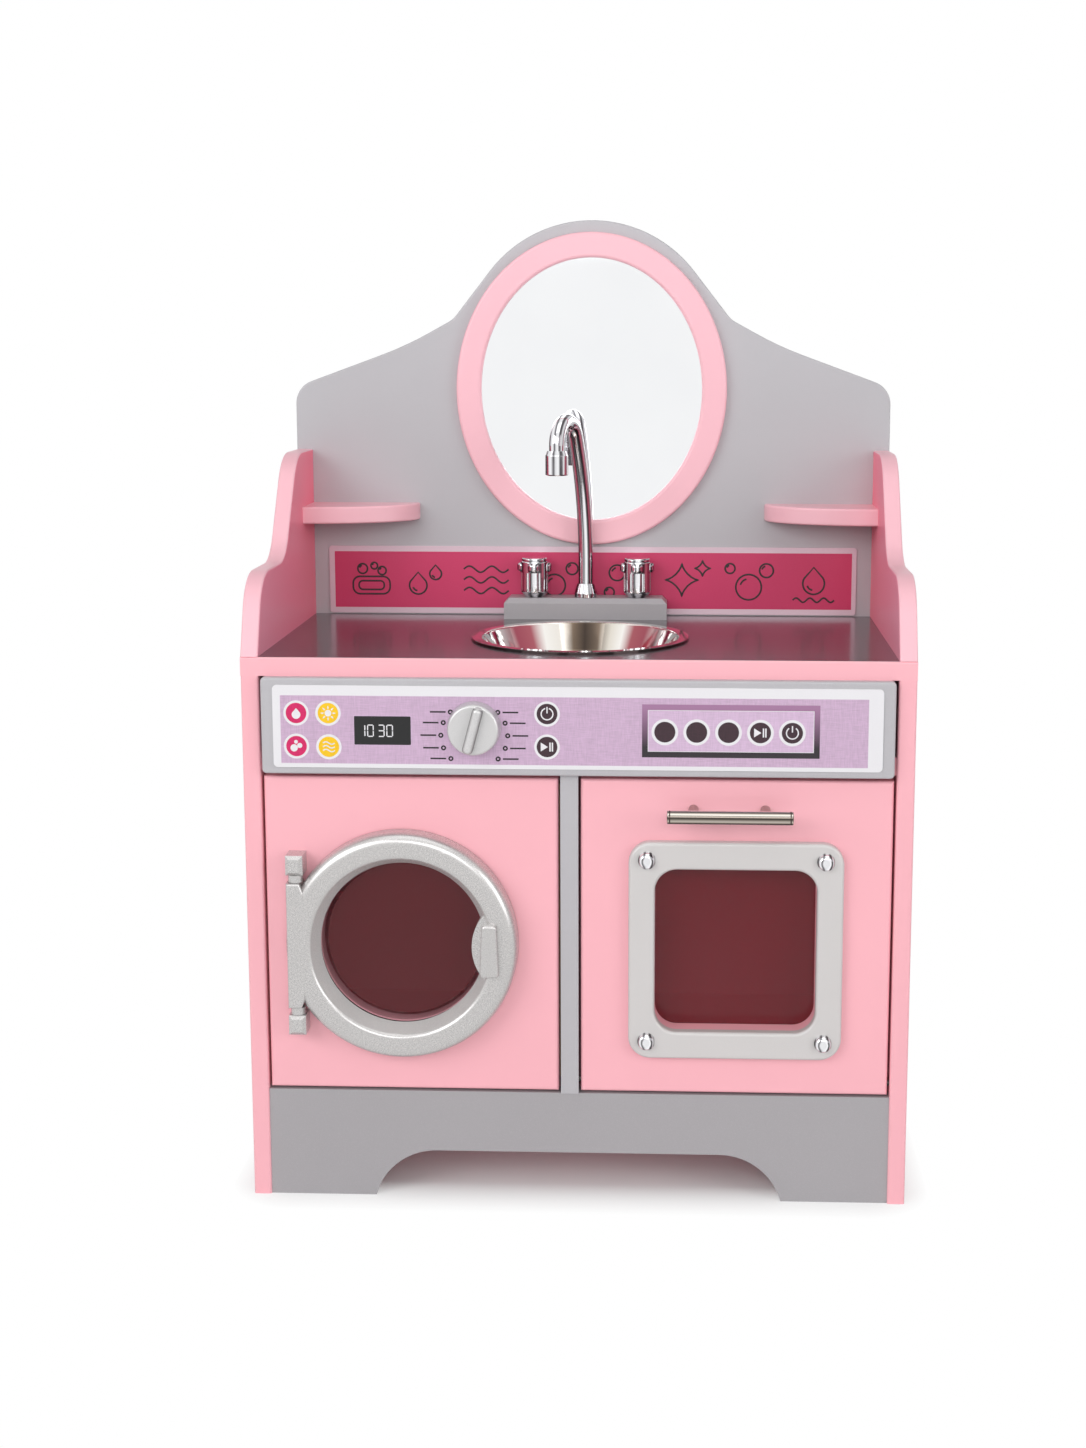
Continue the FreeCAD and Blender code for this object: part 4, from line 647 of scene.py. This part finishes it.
# Painted shadow: the outermost edge of the rim, seen from above, is dark, for the shadow under the
# rolled lip.
RIM_EDGE = 0.9
RIM_PAINTED_SHADOW = (58, 50, 50)
finish = Finish("polished_steel")
swirl = finish.noise(40, 3)
line = finish.noise(700, 2, (1.0, 1.0, 0.3))
level = finish.facing("Z") > FLAT_FACING
plain = finish.mix(swirl, swatch(226, 221, 214), swatch(240, 237, 233))
tint = finish.mix(level, finish.bands("X", BOWL_BANDS), plain)
low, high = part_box("sink_bowl")
out = finish.out_from(((low.x + high.x) / 2, (low.y + high.y) / 2, 0.0), (1.0, 1.0, 0.0))
tint = finish.mix(out > (high.x - low.x) / 2 - RIM_EDGE * MM, tint, swatch(*RIM_PAINTED_SHADOW))
dress(finish.shade({"Base Color": tint, "Metallic": 1.0, "Roughness": 0.05 + 0.05 * line}), "sink_bowl")


# Faucet: a chromed swan-neck spout on its collar and two crowned tap handles, on zinc stems through
# the block. Light and dark bands along the chrome stand for what it reflects in a furnished room.

CHROME_BANDS = ((0.0, (40, 38, 42)), (0.08, (70, 66, 70)), (0.15, (225, 224, 228)),
                (0.28, (245, 245, 247)), (0.34, (150, 148, 152)), (0.4, (58, 54, 58)),
                (0.47, (226, 226, 229)), (0.6, (250, 250, 252)), (0.67, (52, 48, 52)),
                (0.76, (84, 78, 82)), (0.82, (228, 227, 230)), (0.92, (150, 146, 150)),
                (1.0, (44, 40, 44)))
finish = Finish("chrome_plate")
smear = finish.noise(90, 3)
tint = finish.mix(0.12 * smear, finish.bands("X", CHROME_BANDS), swatch(236, 237, 240))
chrome_plate = finish.shade({"Base Color": tint, "Metallic": 1.0, "Roughness": 0.04 + 0.05 * smear})
dress(chrome_plate, "spout_tube", "spout_collar", "spout_nozzle", "left_tap_handle", "right_tap_handle")
dress(zinc_plate, "spout_stem", "left_tap_spindle", "right_tap_spindle")


# Control plate: a white plate fixed to the control board, with a lilac field printed on it that
# carries signs, a display, a scale for the dial and a row of buttons in a tray, all of them prints.

finish = Finish("white_print")
grain = finish.noise(1200, 2)
tint = finish.mix(grain, swatch(226, 224, 228), swatch(236, 235, 238))
white_print = finish.shade({"Base Color": tint, "Roughness": 0.36 + 0.1 * grain, "Coat Weight": 0.15})
dress(white_print, "control_fascia")


def woven_print(name, colour, dark, pale):
    """A flat print on a plate with a linen grain: fine threads across and upright."""
    finish = Finish(name)
    across = finish.noise(900, 2, (0.12, 1.0, 1.6))
    upright = finish.noise(900, 2, (1.6, 1.0, 0.12))
    thread = 0.5 * across + 0.5 * upright
    tint = finish.mix(thread.within(0.36, 0.64), swatch(*colour, dark), swatch(*colour, pale))
    return finish.shade({"Base Color": tint, "Roughness": 0.4 + 0.12 * (thread - 0.5),
                         "Normal": finish.bump(thread, 0.12, 0.0002)})


FASCIA_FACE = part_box("control_fascia")[0].y / MM
LILAC_FIELD = (-263.0, 410.2, 257.0, 471.4)
FIELD_PROUD = 0.05
TRAY_FLOOR_PROUD = 0.06
TRAY_PROUD = 0.07
RING_PROUD = 0.09
DISC_PROUD = 0.13
SIGN_PROUD = 0.17
SIGN_INK = 1.15
SIGN_RING = 11.4
SIGN_DISC = 9.2
LEFT_SIGNS = ((-248.9, 455.5), (-220.4, 455.6), (-249.1, 425.6), (-220.2, 425.2))
RIGHT_SIGNS = ((-25.9, 456.4), (-26.0, 426.7))
BUTTON_FIRST, BUTTON_STEP, BUTTON_ROW = 78.1, 28.05, 441.0
BUTTONS = tuple((BUTTON_FIRST + BUTTON_STEP * k, BUTTON_ROW) for k in range(5))
BUTTON_RING = 11.8
BUTTON_DISC = 9.3

pieces = []
lilac_print = woven_print("lilac_print", (199, 170, 197), dark=0.9, pale=1.12)
pieces.append(plates("print_field", [rectangle(*LILAC_FIELD)], FASCIA_FACE, FIELD_PROUD, lilac_print))

rounds = [arc(x, z, SIGN_RING) for x, z in LEFT_SIGNS + RIGHT_SIGNS]
rounds += [arc(x, z, BUTTON_RING) for x, z in BUTTONS]
pieces.append(plates("print_rings", rounds, FASCIA_FACE, RING_PROUD, white_print))

red_print = woven_print("crimson_print", (208, 22, 96), dark=0.9, pale=1.1)
gold_print = woven_print("gold_print", (244, 196, 14), dark=0.92, pale=1.08)
dark_print = woven_print("plum_black_print", (48, 22, 34), dark=0.8, pale=1.25)
pieces.append(plates("print_red_discs", [arc(*LEFT_SIGNS[k], SIGN_DISC) for k in (0, 2)],
                     FASCIA_FACE, DISC_PROUD, red_print))
pieces.append(plates("print_gold_discs", [arc(*LEFT_SIGNS[k], SIGN_DISC) for k in (1, 3)],
                     FASCIA_FACE, DISC_PROUD, gold_print))
dark_discs = [arc(x, z, SIGN_DISC) for x, z in RIGHT_SIGNS]
dark_discs += [arc(x, z, BUTTON_DISC) for x, z in BUTTONS]
pieces.append(plates("print_dark_discs", dark_discs, FASCIA_FACE, DISC_PROUD, dark_print))


def drop_shape(x, z, size):
    """The outline of a drop alone, without its glint."""
    return drop_line(x, z, size)[0][0]


def play_shape(x, z, size):
    """The play and pause sign: a triangle and two bars."""
    low, high = z - 0.72 * size, z + 0.72 * size
    signs = [[(x - size, low), (x + 0.15 * size, z), (x - size, high)]]
    for left in (0.36, 0.74):
        signs.append(rectangle(x + left * size, low, x + (left + 0.22) * size, high))
    return signs


def sun_shape(x, z, size):
    """A warm-dry sign: a disc with eight short rays."""
    signs = [arc(x, z, 0.45 * size)]
    for k in range(8):
        turn = math.radians(45 * k)
        ray = []
        for out, side in ((0.62, -0.12), (1.0, -0.05), (1.0, 0.05), (0.62, 0.12)):
            ray.append((x + size * (out * math.cos(turn) - side * math.sin(turn)),
                        z + size * (out * math.sin(turn) + side * math.cos(turn))))
        signs.append(ray)
    return signs


def power_line(x, z, gap, radius=5.2, bar=(0.6, 6.4)):
    """The on and off sign: a ring that is open above, and a short bar in the gap."""
    stem = [(x, z + rise) for rise in bar]
    return [(arc(x, z, radius, 90 + gap, 450 - gap), False), (stem, False)]


signs = [drop_shape(LEFT_SIGNS[0][0], LEFT_SIGNS[0][1] - 1.4, 3.9)]
signs += sun_shape(*LEFT_SIGNS[1], 6.6)
for right, up, radius in ((-2.2, -1.6, 3.3), (2.9, 0.6, 2.3), (-0.4, 3.9, 1.7)):
    signs.append(arc(LEFT_SIGNS[2][0] + right, LEFT_SIGNS[2][1] + up, radius, steps=24))
signs += play_shape(*RIGHT_SIGNS[1], 5.6) + play_shape(*BUTTONS[3], 5.6)
pieces.append(plates("print_signs", signs, FASCIA_FACE, SIGN_PROUD, white_print))

lines = [wave_line(LEFT_SIGNS[3][0], LEFT_SIGNS[3][1] + rise, 10.5, 1.1, 1) for rise in (-3.4, 0.0, 3.4)]
lines += power_line(*BUTTONS[4], gap=35) + power_line(*RIGHT_SIGNS[0], gap=18)
pieces.append(ink("print_sign_lines", lines, FASCIA_FACE - DISC_PROUD, SIGN_INK,
                  SIGN_PROUD - DISC_PROUD, white_print))

DIAL_X, DIAL_Z = -90.5, 443.5
MARK_RADIUS = 29.7
MARK_DROP = 7.0
MARK_STEP = 22.5
MARK_FIRST = 45.0
MARK_RING = 1.6
MARK_GAP = 2.6
MARK_INK = 1.45
DASH_LENGTH = 14.0
lines = []
for side in (-1, 1):
    for k in range(5):
        turn = math.radians(MARK_FIRST - MARK_STEP * k)
        x = DIAL_X + side * MARK_RADIUS * math.cos(turn)
        z = DIAL_Z - MARK_DROP + MARK_RADIUS * math.sin(turn)
        near = x + side * (MARK_RING + MARK_GAP)
        lines.append(ring(x, z, MARK_RING))
        lines.append(([(near, z), (near + side * DASH_LENGTH, z)], False))
pieces.append(ink("dial_scale", lines, FASCIA_FACE - FIELD_PROUD, MARK_INK,
                  RING_PROUD - FIELD_PROUD, black_ink))

TRAY = (58.0, 418.2, 214.5, 465.8)
TRAY_EDGE = 5.4
SHADE_FROM, SHADE_TO = 9.0, 3.0
TRAY_INK, TRAY_INK_PROUD = 0.8, 0.02
left, low, right, high = TRAY
inner = (left + TRAY_EDGE, low + TRAY_EDGE, right - TRAY_EDGE, high - TRAY_EDGE)
outer_corners, inner_corners = rectangle(*TRAY), rectangle(*inner)
sides = []
for k in range(4):
    after = (k + 1) % 4
    sides.append([outer_corners[k], outer_corners[after], inner_corners[after], inner_corners[k]])
finish = Finish("tray_shade_print")
lift = finish.along("Z").within((low + SHADE_FROM) * MM, (high - SHADE_TO) * MM)
thread = finish.noise(1100, 2)
shade = finish.mix(lift, swatch(4, 2, 4), swatch(160, 116, 152))
tint = finish.mix(0.05 * thread, shade, swatch(190, 160, 188))
tray_print = finish.shade({"Base Color": tint, "Roughness": 0.4 + 0.1 * thread})
pieces.append(plates("print_tray", sides, FASCIA_FACE, TRAY_PROUD, tray_print))
pale_lilac_print = woven_print("pale_lilac_print", (208, 180, 208), dark=0.92, pale=1.1)
pieces.append(plates("print_tray_floor", [inner_corners], FASCIA_FACE, TRAY_FLOOR_PROUD,
                     pale_lilac_print))
pieces.append(ink("print_tray_line", [(inner_corners, True)], FASCIA_FACE - TRAY_PROUD, TRAY_INK,
                  TRAY_INK_PROUD, white_print))

DISPLAY = (-197.3, 427.4, -146.9, 453.2)
DISPLAY_RIM = 0.7
RIM_CORNER, PANEL_CORNER = 1.2, 0.8
finish = Finish("display_print")
dust = finish.noise(800, 2)
tint = finish.mix(dust, swatch(6, 7, 8), swatch(18, 18, 20))
display_print = finish.shade({"Base Color": tint, "Roughness": 0.2 + 0.1 * dust})
left, low, right, high = DISPLAY
rim = (left - DISPLAY_RIM, low - DISPLAY_RIM, right + DISPLAY_RIM, high + DISPLAY_RIM)
pieces.append(plates("display_rim", [rectangle(*rim, RIM_CORNER)], FASCIA_FACE, RING_PROUD,
                     pale_lilac_print))
pieces.append(plates("display_panel", [rectangle(*DISPLAY, PANEL_CORNER)], FASCIA_FACE, DISC_PROUD,
                     display_print))

DIGIT_WIDE, DIGIT_HIGH = 5.0, 10.2
LIT_BAR, LIT_GAP = 0.95, 0.35
SEGMENTS = {"0": "abcdef", "1": "bc", "3": "abcdg"}
FIGURE_FOOT = 435.0
FIGURES = (("1", -192.8), ("0", -185.3), ("3", -175.7), ("0", -168.2))


def digit_bars(sign, x, z):
    """One figure of the display, from its lit bars."""
    half, mid = LIT_BAR / 2, z + DIGIT_HIGH / 2
    right, top = x + DIGIT_WIDE, z + DIGIT_HIGH
    level = {"a": top, "g": mid, "d": z}
    upright = {"f": (x, mid, top), "b": (right, mid, top), "e": (x, z, mid), "c": (right, z, mid)}
    bars = []
    for part in SEGMENTS[sign]:
        if part in level:
            up = level[part]
            bars.append(rectangle(x + LIT_GAP, up - half, right - LIT_GAP, up + half))
        else:
            across, foot, head = upright[part]
            bars.append(rectangle(across - half, foot + LIT_GAP, across + half, head - LIT_GAP))
    return bars


figures = []
for sign, x in FIGURES:
    figures += digit_bars(sign, x, FIGURE_FOOT)
pieces.append(plates("display_figures", figures, FASCIA_FACE, SIGN_PROUD, white_print))
for piece in pieces:
    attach(piece, "cabinet")


# Dial: a silver-sprayed plastic knob with a raised finger bar, pressed on a zinc spindle that turns
# in the control board. The sides of the bar carry painted shade, a darker share of the knob's colour.

BAR_PAINTED_SHADE, BAR_REACH = 0.22, 20.5
bar_sides = (BAR_PAINTED_SHADE, DIAL_X * MM, DIAL_Z * MM, BAR_REACH * MM)
knob_plastic = flake_paint("satin_silver_plastic", (204, 203, 203), rough=0.3, metal=0.35, coat=0.2,
                           steep_painted_light=bar_sides)
dress(knob_plastic, "dial_knob")
dress(zinc_plate, "dial_spindle")


# Washer door: a moulded ring in silver-sprayed plastic with a hinge tab, two brackets on steel pins,
# a finger grip, and a smoky clear window held by a black ring behind. The window's dark maroon tint
# is also painted shade, deepened for the dark inside of the cabinet, and the ring's bore wall has
# painted light, a paler share of the ring's colour.

low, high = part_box("washer_window")
WINDOW_X, WINDOW_Z = (low.x + high.x) / 2, (low.z + high.z) / 2
# Painted light: the ring's bore wall takes a paler share of the ring's colour.
BORE_PAINTED_LIGHT, BORE_REACH = 1.3, 84.0
bore = (BORE_PAINTED_LIGHT, WINDOW_X, WINDOW_Z, BORE_REACH * MM)
silver_plastic = flake_paint("silver_sprayed_plastic", (193, 191, 190), rough=0.27, metal=0.6,
                             coat=0.2, steep_painted_light=bore)
dress(silver_plastic, "washer_door_ring", "washer_door_grip", "washer_hinge_washers",
      "washer_hinge_brackets")


def moulded(name, dark, pale, rough):
    """Plain moulded plastic: a faint cloud in the colour and a fine spark-eroded skin."""
    finish = Finish(name)
    skin = finish.noise(1600, 2)
    tint = finish.mix(finish.noise(30, 3), swatch(*dark), swatch(*pale))
    return finish.shade({"Base Color": tint, "Roughness": rough + 0.12 * (skin - 0.5),
                         "Normal": finish.bump(skin, 0.1, 0.0002)})


def clear_sheet(name, colour, veil, clear_rim=None):
    """Clear sheet with a smoky tint, a gloss and a faint haze; the tint is also painted shade, deepened
    for a dark inside behind the sheet.

    Round a disc (x, z, radius, radius where the tint is gone) the sheet can stay clear."""
    finish = Finish(name)
    haze = finish.noise(12, 3)
    tint = finish.mix(haze, swatch(*colour, 0.9), swatch(*colour, 1.1))
    veil = veil + 0.06 * (haze - 0.5)
    if clear_rim:
        x, z, start, end = (size * MM for size in clear_rim)
        out = finish.out_from((x, 0.0, z), (1.0, 0.0, 1.0))
        veil = veil * (1.0 - TINT_LOST * out.within(start, end))
    finish.material.use_transparent_shadow = True
    return finish.shade({"Base Color": tint, "Roughness": 0.04 + 0.04 * haze, "Alpha": veil})


black_plastic = moulded("black_plastic", (20, 20, 21), (32, 31, 32), rough=0.45)
TINT_LOST = 0.85
SMOKE_SHADE_RIGHT, SMOKE_SHADE_UP = 2.5, 4.5
SMOKE_SHADE_RADIUS, SMOKE_SHADE_END = 69.5, 71.5
clear_rim = (WINDOW_X / MM + SMOKE_SHADE_RIGHT, WINDOW_Z / MM + SMOKE_SHADE_UP, SMOKE_SHADE_RADIUS, SMOKE_SHADE_END)
dress(black_plastic, "washer_window_retainer", "oven_catch_magnet")
# Painted shade in part: the window's dark maroon tint stands for the shade inside the cabinet, and fades
# to clear round its rim.
round_window = clear_sheet("smoky_round_window", (98, 18, 27), veil=0.5, clear_rim=clear_rim)
dress(round_window, "washer_window")
dress(zinc_plate, "washer_strike_disc")


# Oven door: a pink lacquered board on two pins, with a rounded silver frame on four domed studs, a
# clear pane with a smoky tint screwed on behind, and a brushed steel bar on two posts. The pane's
# dark maroon tint is also painted shade, deepened for the dark inside of the cabinet behind it.

dress(pink_lacquer, "oven_door_panel")
frame_plastic = flake_paint("frame_sprayed_plastic", (206, 203, 202), rough=0.44, metal=0.1, coat=0.1)
dress(frame_plastic, "oven_window_frame")
# Painted shade in part: the pane's dark maroon tint stands for the shade inside the cabinet.
dress(clear_sheet("smoky_oven_window", (124, 24, 36), veil=0.45), "oven_window_pane")
dress(chrome_plate, "oven_frame_studs")

# Painted shade: a thin dark ring near each end of the bar, for the shade in a groove that the bar's
# shape does not have.
BAR_LINE_IN, BAR_LINE_HALF = 2.4, 0.55
BAR_GROOVE_PAINTED_SHADE = (70, 60, 56)
# Painted reflection: bands round the bar, by how far its surface faces up or down, for what a polished
# bar shows of a furnished room.
BAR_BANDS = ((0.0, (50, 44, 40)), (0.09, (64, 56, 52)), (0.2, (130, 121, 112)),
             (0.28, (190, 182, 172)), (0.4, (160, 151, 141)), (0.46, (104, 96, 88)),
             (0.54, (54, 48, 44)), (0.61, (58, 52, 47)), (0.68, (118, 110, 102)),
             (0.79, (222, 216, 208)), (0.87, (158, 150, 141)), (0.95, (92, 84, 78)),
             (1.0, (42, 37, 34)))
finish = Finish("brushed_steel")
brush = finish.noise(1500, 3, (0.02, 1.0, 1.0))
tint = finish.mix(0.12 * brush, finish.bands("Z", BAR_BANDS), swatch(192, 185, 175))
low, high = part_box("oven_handle_bar")
off_middle = abs(finish.along("X") - (low.x + high.x) / 2)
off_line = abs(off_middle - ((high.x - low.x) / 2 - BAR_LINE_IN * MM))
tint = finish.mix(off_line > BAR_LINE_HALF * MM, swatch(*BAR_GROOVE_PAINTED_SHADE), tint)
dress(finish.shade({"Base Color": tint, "Metallic": 1.0, "Roughness": 0.1 + 0.08 * brush}),
      "oven_handle_bar")
finish = Finish("turned_steel")
turned = finish.noise(900, 2, (1.0, 0.2, 1.0))
tint = finish.mix(turned, swatch(138, 122, 118), swatch(172, 158, 152))
dress(finish.shade({"Base Color": tint, "Metallic": 1.0, "Roughness": 0.25 + 0.1 * turned}),
      "oven_handle_posts")

PANE_SCREW = (4.0, 2.5, 1.7, 11.5)
HANDLE_SCREW = (4.5, 2.5, 2.0, 30.0)
pan_heads = screw_tree("pan_head_screws", True)


def pan_screws(name, sizes):
    """Pan-head screws in the corners of the box that the CAD ones fill; one head high, it has one row.

    The sizes are the head's radius and height and the shank's radius and length."""
    head, high, shank, long = (size * MM for size in sizes)
    low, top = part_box(name)
    columns = (low.x + head, top.x - head)
    rows = sorted({round(low.z + head, 5), round(top.z - head, 5)})
    places = [(x, top.y - high, z) for x in columns for z in rows]
    screws = made_by(pan_heads, name + "_driven", places, [], {
        "Head Radius": head, "Head Height": high, "Shank Radius": shank, "Length": long}, zinc_plate)
    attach(screws, "oven_door")
    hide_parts(name)


pan_screws("oven_pane_screws", PANE_SCREW)
pan_screws("oven_handle_screws", HANDLE_SCREW)
dress(zinc_plate, "oven_strike_plate")
# Painted shade: the pivot bushes get a dark grey, so that they show as the shade in the gap round the
# door.
dress(moulded("grey_nylon", (60, 58, 58), (76, 74, 73), rough=0.4), "oven_pivot_bushes")


# Studio: the camera at the photograph's place, soft lamps at the left, at the right, in front and
# above, a white room, and a pale floor that runs out to white outside a tight shadow.

CAMERA_PLACE = (0.0930, -1.87395, 0.78426)
CAMERA_TURN = (81.0042, -0.0631, 2.1676)
CAMERA_LENS = 49.7124
CAMERA_SHIFT = (-0.0448, -0.0480)
SENSOR = 36.0

lens = bpy.data.cameras.new("camera")
lens.sensor_fit = "AUTO"
lens.sensor_width = SENSOR
lens.lens = CAMERA_LENS
lens.shift_x, lens.shift_y = CAMERA_SHIFT
camera = bpy.data.objects.new("camera", lens)
camera.location = CAMERA_PLACE
camera.rotation_euler = [math.radians(turn) for turn in CAMERA_TURN]
bpy.context.scene.collection.objects.link(camera)
bpy.context.scene.camera = camera


def lamp(name, place, aim, size, watts):
    """A soft rectangular lamp at a place, turned to what it lights."""
    light = bpy.data.lights.new(name, "AREA")
    light.shape = "RECTANGLE"
    light.size, light.size_y = size
    light.energy = watts
    holder = bpy.data.objects.new(name, light)
    holder.location = place
    holder.rotation_euler = (Vector(aim) - Vector(place)).to_track_quat("-Z", "Y").to_euler()
    bpy.context.scene.collection.objects.link(holder)


MIDDLE, UPPER = (0, 0, 0.55), (0, 0, 0.6)
lamp("key_lamp", (-2.5, -3.0, 2.1), MIDDLE, size=(2.9, 2.1), watts=70.0)
lamp("fill_lamp", (3.4, -2.7, 1.5), MIDDLE, size=(2.1, 2.1), watts=47.0)
lamp("front_lamp", (0.3, -3.4, 1.6), UPPER, size=(1.8, 1.2), watts=24.0)
lamp("top_lamp", (0, -1.0, 3.0), UPPER, size=(2.4, 2.0), watts=12.0)


def in_sight(graph):
    """1 for what is looked at, straight or in a mirror or through a pane, and 0 for what only lights."""
    path = graph.tree.nodes.new("ShaderNodeLightPath")
    seen = Tone(graph, path.outputs["Is Camera Ray"]) + Tone(graph, path.outputs["Is Glossy Ray"])
    return (seen + Tone(graph, path.outputs["Is Transmission Ray"])) > 0.5


WHITE = (1.0, 1.0, 1.0, 1.0)
AMBIENT = 0.2
world = bpy.data.worlds.new("studio")
world.use_nodes = True
bpy.context.scene.world = world
sky = Graph(world.node_tree)
glow = AMBIENT + (1 - AMBIENT) * in_sight(sky)
sky.feed(world.node_tree.nodes["Background"], {"Color": WHITE, "Strength": glow})

FLOOR_HALF = 9.0
FOOT_HALF_WIDTH, FOOT_HALF_DEPTH = 0.26, 0.10
SHADOW_REACH = 0.065
mesh = bpy.data.meshes.new("floor")
mesh.from_pydata([(-FLOOR_HALF, -FLOOR_HALF, 0), (FLOOR_HALF, -FLOOR_HALF, 0),
                  (FLOOR_HALF, FLOOR_HALF, 0), (-FLOOR_HALF, FLOOR_HALF, 0)], [], [(0, 1, 2, 3)])
floor = bpy.data.objects.new("floor", mesh)
bpy.context.scene.collection.objects.link(floor)
finish = Finish("pale_floor")
spot = finish.node("ShaderNodeVectorMath", {"operation": "ABSOLUTE"}, {0: finish.place()})
edge = finish.node("ShaderNodeVectorMath", {"operation": "SUBTRACT"},
                   {0: spot, 1: (FOOT_HALF_WIDTH, FOOT_HALF_DEPTH, 0.0)})
outside = finish.node("ShaderNodeVectorMath", {"operation": "MAXIMUM"}, {0: edge, 1: (0.0, 0.0, 0.0)})
away = finish.node("ShaderNodeVectorMath", {"operation": "LENGTH"}, {0: outside}, "Value")
white = finish.node("ShaderNodeEmission", {}, {"Color": WHITE, "Strength": 1.0})
blend = finish.tree.nodes.new("ShaderNodeMixShader")
finish.feed(blend, {0: in_sight(finish) * away.within(0.0, SHADOW_REACH), 2: white})
finish.tree.links.new(finish.shader.outputs[0], blend.inputs[1])
finish.tree.links.new(blend.outputs[0], finish.tree.nodes["Material Output"].inputs["Surface"])
finish.shade({"Base Color": swatch(248, 248, 248), "Roughness": 0.9})
mesh.materials.append(finish.material)

bpy.context.scene.view_settings.view_transform = "Standard"
